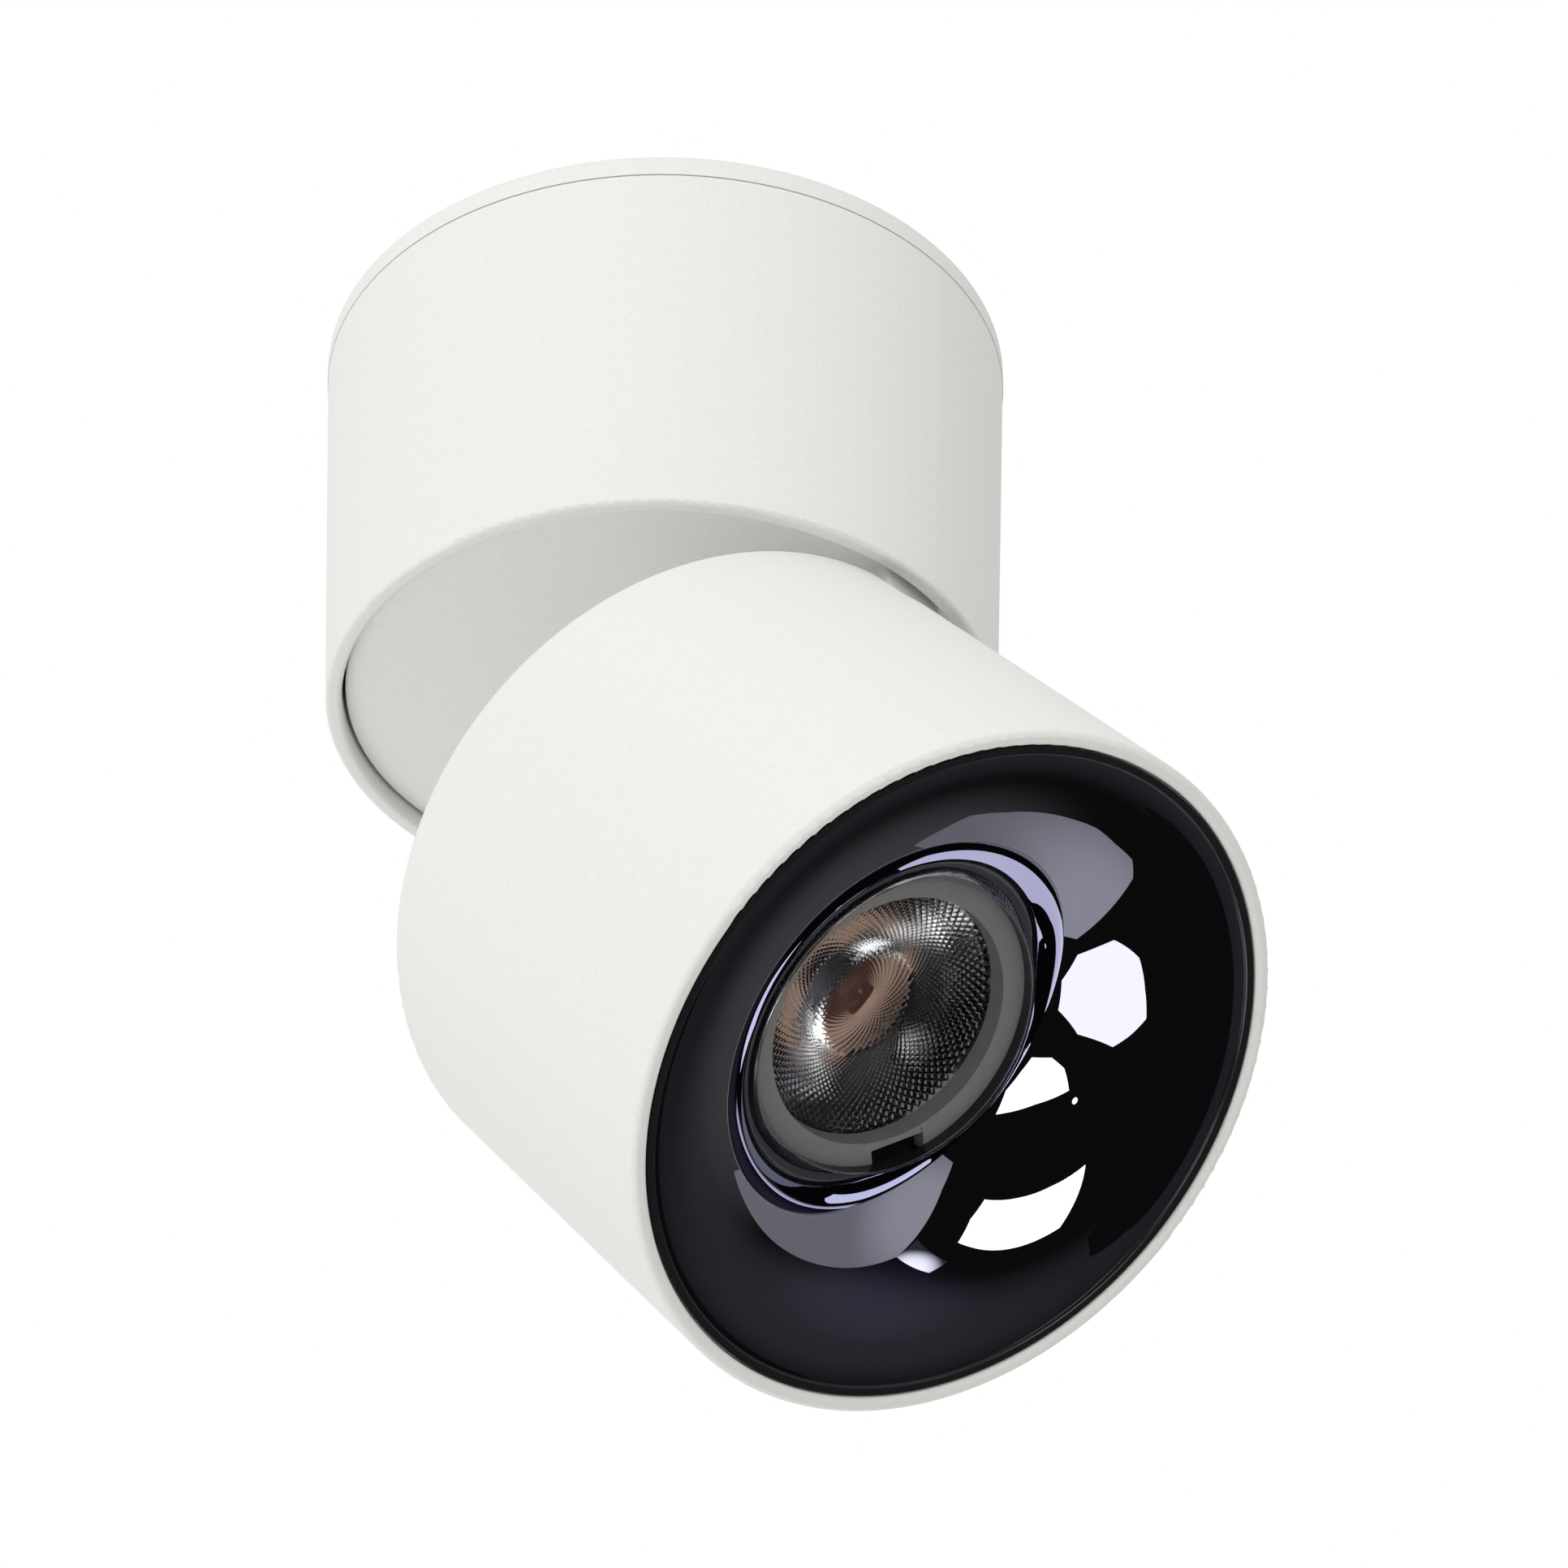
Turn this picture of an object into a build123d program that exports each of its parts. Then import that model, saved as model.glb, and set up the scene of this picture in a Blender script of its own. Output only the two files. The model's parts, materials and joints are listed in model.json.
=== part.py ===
from build123d import *

import os
from math import asin, cos, radians, sin, sqrt

os.makedirs("parts", exist_ok=True)

# Surface mounted ceiling spotlight with a folding, turning head.
# Frame: the origin is the centre of the ceiling face, +Z points up into the
# ceiling, the lamp hangs below it and the head tips towards +X about a hinge
# that runs along Y.  Everything is in millimetres.

# ---------------------------------------------------------------- fits
running_clearance = 0.06        # turning shaft in its bore, on the radius
thread_clearance = 0.05         # screw in its tapped hole, on the radius
loose_clearance = 0.4           # pieces that only pass each other
seat_gap = 0.05                 # sliding flat faces
seam_gap = 0.15                 # hairline joint between base and plate

# ---------------------------------------------------------------- base housing
base_rim_radius = 48.0
base_draft = 1.8                # the casting has a slight draft
base_top_radius = base_rim_radius + base_draft
base_height = 61.7              # ceiling face to the rim
base_wall = 2.3
rim_round = 0.7
plate_edge_height = 3.6         # visible edge of the mounting plate
disc_recess = 2.45              # rim to the swivel disc

# ---------------------------------------------------------------- mounting plate
plate_floor = 2.5
plate_round = 0.9
spigot_wall = 2.0
spigot_depth = 8.7              # below the visible edge's lower side
bayonet_width = 14.0
bayonet_height = 2.2
bayonet_reach = 1.4             # plate lug out from the spigot
bayonet_count = 3
slot_spacing = 60.0             # ceiling screw slots, centre to centre
slot_length = 12.0
slot_width = 4.6
cable_hole_radius = 8.0
grommet_bore = 4.5
grommet_flange = 2.2
grommet_flange_height = 0.9
grommet_lip = 1.26              # inner lip under the plate

# ---------------------------------------------------------------- swivel
disc_gap = 0.45                 # disc edge to the housing wall
disc_thickness = 2.5
disc_round = 0.4
boss_height = 2.5
boss_radius = 20.0
boss_slot_run = 2.0             # wire slot past the boss's edge
hub_radius = 12.0
hub_wall = 4.5
hub_height = 13.25              # above the disc
friction_washer_height = 0.95
bridge_thickness = 3.0
bridge_gap = 1.2                # bridge edge to the housing wall
standoff_circle = base_rim_radius - 9.0
bridge_web = 2.0                # metal between the boss and the windows
bridge_window_inner = boss_radius + bridge_web
bridge_window_outer = standoff_circle - 3 * bridge_web
bridge_window_angle = 46.0
spring_thickness = 0.6
spring_height = 1.2
spring_radius = 18.0
hub_nut_radius = 17.0
hub_nut_height = 5.0
hub_nut_slot = 3.0
hub_nut_slot_depth = 2.4
hub_nut_slots = 6
hinge_offset = base_rim_radius - 5.5    # swivel axis to hinge axis
stop_radius = hinge_offset      # stop pin circle
stop_pin_radius = 1.25
stop_pin_reach = 3.0            # below the bridge
stop_lug_depth = 2.4
stop_lug_width = 4.4
stop_lug_height = 3.0

# ---------------------------------------------------------------- driver stack
standoff_count = 4
standoff_start = 45.0           # degrees from the hinge side
standoff_height = 8.0
standoff_bore = 6.4
standoff_screw_length = 6.0
standoff_across_flats = 5.5
screw_radius = 1.5              # M3
screw_head_radius = 2.75
screw_head_height = 1.8
socket_width = 2.4              # hexagon drive of the pan heads
socket_share = 1.3              # countersunk heads: drive width over shank radius
ear_thickness = 4.0             # housing ears that carry the bridge
ear_width = 10.0
ear_inner = standoff_circle - ear_width / 2
driver_plate_thickness = 1.2
driver_plate_radius = base_rim_radius - 5.0
driver_length = 70.0
driver_width = 36.0
driver_height = 22.0
driver_wall = 1.6
driver_lid_height = 3.0
driver_round = 2.0
case_screw_x = driver_length / 2 - 11.0
case_screw_y = driver_width / 2 - 8.0
board_thickness = 1.6
board_lift = 2.4
board_gap = 0.5                 # board edge to the case wall
board_foot_radius = 1.2
board_foot_inset = 5.5
transformer_length = 18.0
transformer_width = 16.0
transformer_height = 12.5
transformer_round = 1.5
transformer_shift = 2.0
capacitor_radius = 5.0
capacitor_height = 13.0
capacitor_inset = 13.0          # driver end to the capacitors
capacitor_pitch = 12.0
terminal_length = 24.0
terminal_width = 16.0
terminal_height = 14.0
terminal_gap = 5.0
terminal_y = driver_width / 2 + terminal_gap + terminal_width / 2
terminal_pitch = 8.0
terminal_hole_radius = 2.0
terminal_well = 6.4             # screw ports from the top
terminal_sink = 2.0             # screws below the top
terminal_screw_length = 4.2
terminal_port = 4.2             # height of the wire ports
terminal_port_radius = 1.6
driver_slot = 0.7               # screwdriver slot
clamp_length = 24.0
clamp_width = 8.0
clamp_height = 3.0
clamp_gap = 9.0
clamp_y = -driver_width / 2 - clamp_gap - clamp_width / 2
clamp_round = 1.0
clamp_arch = 4.6                # radius over the cable
clamp_lift = 4.0
clamp_screw_pitch = 16.0
earth_x = terminal_length / 2 + 8.0
earth_y = terminal_y + 4.5
earth_lug_height = 0.8
earth_lug_rim = 0.6
earth_tail_length = 6.0
earth_tail_width = 2.4

# ---------------------------------------------------------------- hinge
rest_tilt = 39.8                # degrees that the head is opened at rest
closed_gap = 1.9                # rim plane to the head's rear face, closed
hinge_depth = 5.2               # head's rear face to hinge axis
hinge_pin_radius = 1.5
rivet_radius = 2.6
rivet_height = 0.8
arm_width = 12.6
knuckle_radius = 4.5
arm_outer = hinge_offset + 1.9  # outer face of the arm's neck
arm_round = 0.8
arm_screw_radius = 1.25         # M2.5
arm_screw_head = 2.3
arm_screw_x = hinge_offset - 0.6
arm_screw_pitch = 8.7
arm_screw_length = 7.5
wire_channel_wall = 0.8
wire_channel_depth = 1.9
wire_channel_width = 4.8
hinge_side_gap = 0.5            # knuckle to each bracket ear
hinge_washer_height = 0.4
hinge_washer_radius = 2.8
bracket_thickness = 1.6
ear_round = 2.8
bracket_reach = 16.5            # hinge axis to the foot's inner edge
bracket_inner = hinge_offset - bracket_reach
bracket_half_width = 14.0
bracket_screw_reach = 11.5
bracket_screw_x = hinge_offset - bracket_screw_reach
bracket_screw_pitch = 19.0
bracket_screw_tip = 0.6

# ---------------------------------------------------------------- head shell
head_rear_radius = base_rim_radius + 0.25
head_front_radius = head_rear_radius + base_draft
head_length = 68.9
head_wall = 2.2
head_rear_wall = 3.0
head_rear_round = 1.5
head_rim_round = 0.9
notch_side_gap = 0.25           # bracket ear to the notch wall
seat_depth = 1.75               # front plane to the reflector's seat
seat_width = 1.6
seat_length = 8.0

# ---------------------------------------------------------------- optics
lip_gap = 0.3                   # reflector edge to the shell
lip_recess = 0.45               # front plane to the reflector's lip
lip_width = 0.75
lip_round = 0.5
bowl_start_depth = 0.95
reflector_wall = 1.2
clip_count = 3                  # snap hooks behind the shell's seat
clip_width = 8.0
clip_hook = 0.8
clip_tip = 2.1                  # hooks past the seat ring
clip_nose = 1.4
neck_wall = 0.9
neck_round = 1.4                # where the bell turns into the neck
neck_land = 1.8                 # straight end of the neck
lens_depth = 17.8               # front plane to the lens flange
lens_radius = 22.8
lens_flange_height = 2.5
lens_face_radius = 18.1
lens_face_depth = 2.8           # flange to the edge of the dished face
lens_dish = 4.5                 # how deep that face is dished
lens_rear_radius = 10.2
lens_rear_depth = 17.7          # flange to the lens's rear end
lens_cavity_radius = 8.6
lens_cavity_depth = 7.5
lens_cavity_crown = 1.6         # bulge of the cavity's roof
lens_side_bow = 0.3
lens_ledge = 1.8                # flange width that rests in the holder
lens_wall_draft = 0.2
lens_cavity_draft = 0.6
key_width = 8.3
key_depth = 3.6
key_angle = 230.6               # about the head's axis
lens_fit = 0.15
holder_wall = 1.7
holder_ledge = 1.3
holder_foot_width = 4.0         # foot out from the holder's wall
holder_foot_height = 2.0
holder_overlap = 1.0            # holder wall standing round the reflector's neck
holder_screws = 3
holder_screw_start = 30.0
holder_screw_head = 1.7
cob_size = 19.0
cob_corner = 1.0
cob_gap = 0.15
cob_thickness = 1.2
emitter_radius = 6.2
emitter_height = 0.8
cob_holder_radius = 20.2
cob_holder_bore = 12.4
cob_holder_height = 2.0
cob_screw_circle = 17.0
pad_thickness = 0.4
sink_margin = 14.25             # shell's rear radius to the plate's edge
sink_plate_radius = head_rear_radius - sink_margin
sink_plate_height = 5.0
sink_core_radius = 9.5
sink_wire_lane = 8.0            # between the fins' ends and the plate's edge
sink_fin_radius = sink_plate_radius - sink_wire_lane
sink_fin_thickness = 1.6
sink_fin_count = 18
fin_root = 1.0                  # fins sunk into the core
sink_fin_gap = 2.5              # rear wall to the fins
sink_screw_circle = 6.0
sink_screw_count = 3
sink_screw_start = 60.0
sink_screw_length = 9.0

# ---------------------------------------------------------------- internal wires
wire_radius = 0.8
wire_pitch = 2.4
wire_bend = 2.0
supply_entry = 2.0              # into the terminal's port
supply_turn = 6.0
supply_side = 3.0               # beside the driver's end
supply_bend = 1.2
wire_enter_angle = 13.0         # where the head's wires start about the hinge
joint_reach = 2.5               # output wires end this far inside the hub
wire_notch_gap = 1.2            # wire notch wider than the wires

# ================================================================ derived levels
rim_z = -base_height
disc_bottom_z = rim_z + disc_recess
disc_top_z = disc_bottom_z + disc_thickness
boss_top_z = disc_top_z + boss_height
bridge_bottom_z = boss_top_z + friction_washer_height + seat_gap
bridge_top_z = bridge_bottom_z + bridge_thickness
spring_bottom_z = bridge_top_z + seat_gap
nut_bottom_z = spring_bottom_z + spring_height
nut_top_z = nut_bottom_z + hub_nut_height
hub_top_z = disc_top_z + hub_height
ear_top_z = bridge_top_z + ear_thickness
driver_plate_z = ear_top_z + standoff_height
driver_z = driver_plate_z + driver_plate_thickness
board_z = driver_z + driver_wall + board_lift
spigot_bottom_z = -plate_edge_height - spigot_depth
lug_seat_z = spigot_bottom_z + bayonet_height


def base_radius(z):
    """Outer radius of the drafted base at height z."""
    return base_rim_radius + (base_top_radius - base_rim_radius) * (z - rim_z) / base_height


def head_radius(depth):
    """Outer radius of the drafted head, depth measured from its rear face."""
    growth = (head_front_radius - head_rear_radius) / head_length
    return head_rear_radius + growth * depth


# The hinge axis, and the head's own plane: its origin is the centre of the
# rear face, its x points at the hinge and its z out along the light beam.
tilt = radians(rest_tilt)
hinge_z = rim_z - closed_gap - hinge_depth
head_x = (cos(tilt), 0, sin(tilt))
head_z = (sin(tilt), 0, -cos(tilt))
head_origin = (
    hinge_offset - hinge_offset * cos(tilt) - hinge_depth * sin(tilt),
    0,
    hinge_z - hinge_offset * sin(tilt) + hinge_depth * cos(tilt),
)
head = Plane(origin=head_origin, x_dir=head_x, z_dir=head_z)
head_section = Plane(origin=head_origin, x_dir=head_x, z_dir=(0, 1, 0))
head_axis = Axis(head_origin, head_z)


def across(plane, offset):
    """The plane moved along its normal."""
    return plane.offset(offset)


def around(radius, count, start=0.0):
    """Points on a circle about the plane's origin."""
    return PolarLocations(radius, count, start_angle=start)


def revolved(profile_plane, points, axis):
    """A closed polygon profile turned into a ring or disc."""
    with BuildSketch(profile_plane) as profile:
        with BuildLine():
            Polyline(*points, close=True)
        make_face()
    revolve(profile.sketch, axis=axis)


def cylinders(plane, spots, radius, height):
    """Round bars standing on a plane; a negative height runs below it."""
    with BuildSketch(plane) as discs:
        with Locations(*spots):
            Circle(radius)
    extrude(discs.sketch, amount=height)


def hex_sockets(plane, spots, across_flats, depth):
    """Hexagon drives cut into screw heads."""
    with BuildSketch(plane) as sockets:
        with Locations(*spots):
            RegularPolygon(across_flats / 2, 6, major_radius=False)
    extrude(sockets.sketch, amount=-depth, mode=Mode.SUBTRACT)


def pan_screws(plane, spots, length):
    """M3 pan head screws: heads above the plane, shanks below."""
    cylinders(plane, spots, screw_radius - thread_clearance, -length)
    cylinders(plane, spots, screw_head_radius, screw_head_height)
    hex_sockets(across(plane, screw_head_height), spots, socket_width, screw_head_height / 2)


def countersunk_screws(plane, spots, shank, head, length):
    """Countersunk screws flush with the plane."""
    cylinders(plane, spots, shank, -length)
    with BuildSketch(plane) as discs:
        with Locations(*spots):
            Circle(head)
    extrude(discs.sketch, amount=-(head - shank), taper=45)
    hex_sockets(plane, spots, shank * socket_share, shank)


def lead(points, bend):
    """One round wire along straight runs joined by tangent arcs."""
    with BuildLine() as route:
        FilletPolyline(*points, radius=bend)
    start = route.line @ 0
    heading = route.line % 0
    with BuildSketch(Plane(origin=start, z_dir=heading)) as wire_end:
        Circle(wire_radius)
    sweep(wire_end.sketch, path=route.line)


def keyed_spots(radius, count, start):
    """Bolt circle positions as plain points."""
    turn = 360.0 / count
    angles = [radians(start + turn * step) for step in range(count)]
    return [(radius * cos(angle), radius * sin(angle)) for angle in angles]


section = Plane.XZ          # x is the radius, y is the height
standoff_spots = keyed_spots(standoff_circle, standoff_count, standoff_start)
wire_rows = (-wire_pitch / 2, wire_pitch / 2)

# ================================================================ base
# Mounting plate: fixed to the ceiling through two slots; the housing turns
# onto its three bayonet lugs.
plate_inner = base_radius(-plate_edge_height) - base_wall
spigot_outer = plate_inner - bayonet_reach - loose_clearance * 2
with BuildPart() as mounting_plate:
    with BuildSketch(Plane.XY):
        Circle(base_top_radius)
    extrude(amount=-plate_edge_height)
    fillet(mounting_plate.faces().sort_by(Axis.Z)[-1].edges(), plate_round)
    with BuildSketch(Plane.XY.offset(-plate_edge_height)):
        Circle(spigot_outer)
    extrude(amount=-spigot_depth)
    with BuildSketch(Plane.XY.offset(spigot_bottom_z)):
        Circle(spigot_outer - spigot_wall)
    extrude(amount=-spigot_bottom_z - plate_floor, mode=Mode.SUBTRACT)
    with BuildSketch(Plane.XY.offset(-plate_edge_height)):
        Circle(plate_inner)
        Circle(spigot_outer, mode=Mode.SUBTRACT)
    extrude(amount=plate_edge_height - plate_floor, mode=Mode.SUBTRACT)
    with BuildSketch(Plane.XY.offset(spigot_bottom_z)):
        with around(spigot_outer, bayonet_count):
            Rectangle(bayonet_reach * 2, bayonet_width)
    extrude(amount=bayonet_height)
    with BuildSketch(Plane.XY):
        with Locations((slot_spacing / 2, 0), (-slot_spacing / 2, 0)):
            SlotOverall(slot_length, slot_width)
        Circle(cable_hole_radius)
    extrude(amount=-plate_floor, mode=Mode.SUBTRACT)
    with BuildSketch(Plane.XY):
        Circle(cable_hole_radius + grommet_flange + loose_clearance)
    extrude(amount=-grommet_flange_height, mode=Mode.SUBTRACT)
mounting_plate.part.label = "mounting_plate"
export_step(mounting_plate.part, "parts/mounting_plate.step")

# Cable grommet: a rubber ring snapped into the plate, flush with the ceiling.
with BuildPart() as cable_grommet:
    flange_r = cable_hole_radius + grommet_flange
    revolved(
        section,
        [
            (grommet_bore, -seat_gap),
            (flange_r, -seat_gap),
            (flange_r, -grommet_flange_height),
            (cable_hole_radius, -grommet_flange_height),
            (cable_hole_radius, -plate_floor),
            (flange_r, -plate_floor),
            (flange_r - grommet_flange_height, -plate_floor - grommet_lip),
            (grommet_bore, -plate_floor - grommet_lip),
        ],
        Axis.Z,
    )
cable_grommet.part.label = "cable_grommet"
export_step(cable_grommet.part, "parts/cable_grommet.step")

# Base housing: a drafted tube with three bayonet lugs near its top and four
# ears near its rim that carry the bridge.
housing_top = -plate_edge_height - seam_gap
housing_lug_inner = spigot_outer + loose_clearance
with BuildPart() as base_housing:
    revolved(
        section,
        [
            (base_rim_radius, rim_z),
            (base_radius(housing_top), housing_top),
            (base_radius(housing_top) - base_wall, housing_top),
            (base_rim_radius - base_wall, rim_z),
        ],
        Axis.Z,
    )
    rim_edges = base_housing.faces().sort_by(Axis.Z)[0].edges()
    fillet(rim_edges, rim_round)
    lug_outer = base_radius(lug_seat_z) - base_wall / 2
    lug_middle = (housing_lug_inner + lug_outer) / 2
    with BuildSketch(Plane.XY.offset(lug_seat_z)):
        with around(lug_middle, bayonet_count):
            Rectangle(lug_outer - housing_lug_inner, bayonet_width)
    extrude(amount=bayonet_height)
    ear_outer = base_radius(bridge_top_z) - base_wall / 2
    with BuildSketch(Plane.XY.offset(bridge_top_z)):
        with around((ear_inner + ear_outer) / 2, standoff_count, start=standoff_start):
            Rectangle(ear_outer - ear_inner, ear_width)
        with Locations(*standoff_spots):
            Circle(screw_radius + loose_clearance / 2, mode=Mode.SUBTRACT)
    extrude(amount=ear_thickness)
base_housing.part.label = "base_housing"
export_step(base_housing.part, "parts/base_housing.step")

# Bridge: the steel plate that carries the swivel, with its bearing bore.
bridge_radius = base_radius(bridge_bottom_z) - base_wall - bridge_gap
with BuildPart() as swivel_bridge:
    with BuildSketch(Plane.XY.offset(bridge_bottom_z)):
        Circle(bridge_radius)
        Circle(hub_radius + running_clearance, mode=Mode.SUBTRACT)
        with Locations(*standoff_spots):
            Circle(screw_radius, mode=Mode.SUBTRACT)
        with Locations((-stop_radius, 0)):
            Circle(stop_pin_radius, mode=Mode.SUBTRACT)
        window_middle = (bridge_window_inner + bridge_window_outer) / 2
        for step in range(standoff_count):
            middle_angle = 360 / standoff_count * step
            SlotArc(
                CenterArc(
                    (0, 0),
                    window_middle,
                    middle_angle - bridge_window_angle / 2,
                    bridge_window_angle,
                    mode=Mode.PRIVATE,
                ),
                bridge_window_outer - bridge_window_inner,
                mode=Mode.SUBTRACT,
            )
    extrude(amount=bridge_thickness)
swivel_bridge.part.label = "swivel_bridge"
export_step(swivel_bridge.part, "parts/swivel_bridge.step")

# Stop pin: pressed in the bridge, it ends the swivel's travel on the lug.
with BuildPart() as stop_pin:
    pin_plane = Plane.XY.offset(bridge_bottom_z - stop_pin_reach)
    pin_length = bridge_thickness + stop_pin_reach
    cylinders(pin_plane, [(-stop_radius, 0)], stop_pin_radius - thread_clearance / 2, pin_length)
stop_pin.part.label = "stop_pin"
export_step(stop_pin.part, "parts/stop_pin.step")

# Standoffs: hexagon spacers whose studs pass the ears into the bridge.
with BuildPart() as standoffs:
    with BuildSketch(Plane.XY.offset(ear_top_z)):
        with Locations(*standoff_spots):
            RegularPolygon(standoff_across_flats / 2, 6, major_radius=False)
    extrude(amount=standoff_height)
    stud_length = ear_thickness + bridge_thickness
    cylinders(Plane.XY.offset(ear_top_z), standoff_spots, screw_radius - thread_clearance, -stud_length)
    bore_plane = Plane.XY.offset(driver_plate_z)
    with BuildSketch(bore_plane):
        with Locations(*standoff_spots):
            Circle(screw_radius)
    extrude(amount=-standoff_bore, mode=Mode.SUBTRACT)
standoffs.part.label = "standoffs"
export_step(standoffs.part, "parts/standoffs.step")

# Driver plate: the steel tray over the swivel that carries the electrics.
output_x = driver_length / 2 + wire_bend * 2
case_screw_spots = [(case_screw_x, -case_screw_y), (-case_screw_x, case_screw_y)]
clamp_spots = [(clamp_screw_pitch / 2, clamp_y), (-clamp_screw_pitch / 2, clamp_y)]
with BuildPart() as driver_plate:
    with BuildSketch(Plane.XY.offset(driver_plate_z)):
        Circle(driver_plate_radius)
        with Locations(*standoff_spots):
            Circle(screw_radius + loose_clearance / 2, mode=Mode.SUBTRACT)
        with Locations((output_x, 0)):
            Rectangle(wire_radius * 2 + loose_clearance * 4, wire_pitch * 3, mode=Mode.SUBTRACT)
        with Locations((earth_x, earth_y)):
            Circle(screw_radius, mode=Mode.SUBTRACT)
        with Locations(*clamp_spots):
            Circle(screw_radius, mode=Mode.SUBTRACT)
        with Locations(*case_screw_spots):
            Circle(screw_radius + loose_clearance / 2, mode=Mode.SUBTRACT)
    extrude(amount=driver_plate_thickness)
driver_plate.part.label = "driver_plate"
export_step(driver_plate.part, "parts/driver_plate.step")

with BuildPart() as driver_plate_screws:
    pan_screws(Plane.XY.offset(driver_z), standoff_spots, standoff_screw_length)
driver_plate_screws.part.label = "driver_plate_screws"
export_step(driver_plate_screws.part, "parts/driver_plate_screws.step")

# Driver: an open case, its circuit board with the two tall parts, and a lid.
case_height = driver_height - driver_lid_height
with BuildPart() as driver_case:
    with BuildSketch(Plane.XY.offset(driver_z)):
        RectangleRounded(driver_length, driver_width, driver_round)
    extrude(amount=case_height)
    with BuildSketch(Plane.XY.offset(driver_z + driver_wall)):
        RectangleRounded(driver_length - 2 * driver_wall, driver_width - 2 * driver_wall, driver_round / 2)
    extrude(amount=case_height, mode=Mode.SUBTRACT)
    with BuildSketch(Plane.XY.offset(driver_z)):
        with Locations(*case_screw_spots):
            Circle(screw_radius)
    extrude(amount=driver_wall, mode=Mode.SUBTRACT)
driver_case.part.label = "driver_case"
export_step(driver_case.part, "parts/driver_case.step")

# Two screws from under the tray hold the case.
with BuildPart() as driver_case_screws:
    tray_under = Plane.XY.offset(driver_plate_z)
    case_grip = driver_plate_thickness + driver_wall + board_lift / 2
    cylinders(tray_under, case_screw_spots, screw_radius - thread_clearance, case_grip)
    cylinders(tray_under, case_screw_spots, screw_head_radius, -screw_head_height)
    socket_plane = Plane(origin=(0, 0, driver_plate_z - screw_head_height), z_dir=(0, 0, -1))
    flipped = [(x, -y) for x, y in case_screw_spots]
    hex_sockets(socket_plane, flipped, socket_width, screw_head_height / 2)
driver_case_screws.part.label = "driver_case_screws"
export_step(driver_case_screws.part, "parts/driver_case_screws.step")

with BuildPart() as driver_lid:
    with BuildSketch(Plane.XY.offset(driver_z + case_height)):
        RectangleRounded(driver_length, driver_width, driver_round)
    extrude(amount=driver_lid_height)
    fillet(driver_lid.faces().sort_by(Axis.Z)[-1].edges(), driver_round / 2)
    with BuildSketch(Plane.XY.offset(driver_z + case_height)):
        Rectangle(driver_length - 4 * driver_wall, driver_width - 4 * driver_wall)
    extrude(amount=driver_lid_height - driver_wall, mode=Mode.SUBTRACT)
driver_lid.part.label = "driver_lid"
export_step(driver_lid.part, "parts/driver_lid.step")

board_margin = 2 * (driver_wall + board_gap)
with BuildPart() as driver_board:
    with BuildSketch(Plane.XY.offset(board_z)):
        Rectangle(driver_length - board_margin, driver_width - board_margin)
    extrude(amount=board_thickness)
    foot_x = driver_length / 2 - board_foot_inset
    foot_y = driver_width / 2 - board_foot_inset
    board_feet = [(foot_x, foot_y), (foot_x, -foot_y), (-foot_x, foot_y), (-foot_x, -foot_y)]
    cylinders(Plane.XY.offset(board_z), board_feet, board_foot_radius, -board_lift)
driver_board.part.label = "driver_board"
export_step(driver_board.part, "parts/driver_board.step")

with BuildPart() as driver_transformer:
    with BuildSketch(Plane.XY.offset(board_z + board_thickness)):
        with Locations((transformer_shift, 0)):
            Rectangle(transformer_length, transformer_width)
    extrude(amount=transformer_height)
    chamfer(driver_transformer.edges().filter_by(Axis.Z), transformer_round)
driver_transformer.part.label = "driver_transformer"
export_step(driver_transformer.part, "parts/driver_transformer.step")

with BuildPart() as driver_capacitors:
    cap_x = driver_length / 2 - capacitor_inset
    cap_spots = [(-cap_x, capacitor_pitch / 2), (-cap_x, -capacitor_pitch / 2), (cap_x, 0)]
    cap_plane = Plane.XY.offset(board_z + board_thickness)
    cylinders(cap_plane, cap_spots, capacitor_radius, capacitor_height)
driver_capacitors.part.label = "driver_capacitors"
export_step(driver_capacitors.part, "parts/driver_capacitors.step")

# Terminal block with its three wire ports and screw ports.
terminal_rows = (-terminal_pitch, 0, terminal_pitch)
with BuildPart() as terminal_block:
    with BuildSketch(Plane.XY.offset(driver_z)):
        with Locations((0, terminal_y)):
            Rectangle(terminal_length, terminal_width)
    extrude(amount=terminal_height)
    with BuildSketch(Plane.XY.offset(driver_z + terminal_height)):
        with Locations(*[(row, terminal_y) for row in terminal_rows]):
            Circle(terminal_hole_radius)
    extrude(amount=-terminal_well, mode=Mode.SUBTRACT)
    port_plane = Plane(
        origin=(0, terminal_y - terminal_width / 2, driver_z + terminal_port),
        x_dir=(1, 0, 0),
        z_dir=(0, -1, 0),
    )
    with BuildSketch(port_plane):
        with Locations(*[(row, 0) for row in terminal_rows]):
            Circle(terminal_port_radius)
    extrude(amount=-terminal_width, mode=Mode.SUBTRACT)
terminal_block.part.label = "terminal_block"
export_step(terminal_block.part, "parts/terminal_block.step")

with BuildPart() as terminal_screws:
    terminal_top = Plane.XY.offset(driver_z + terminal_height - terminal_sink)
    terminal_spots = [(row, terminal_y) for row in terminal_rows]
    cylinders(terminal_top, terminal_spots, terminal_hole_radius - thread_clearance, -terminal_screw_length)
    with BuildSketch(terminal_top):
        with Locations(*terminal_spots):
            Rectangle(terminal_hole_radius * 2, driver_slot)
    extrude(amount=-driver_slot, mode=Mode.SUBTRACT)
terminal_screws.part.label = "terminal_screws"
export_step(terminal_screws.part, "parts/terminal_screws.step")

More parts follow.
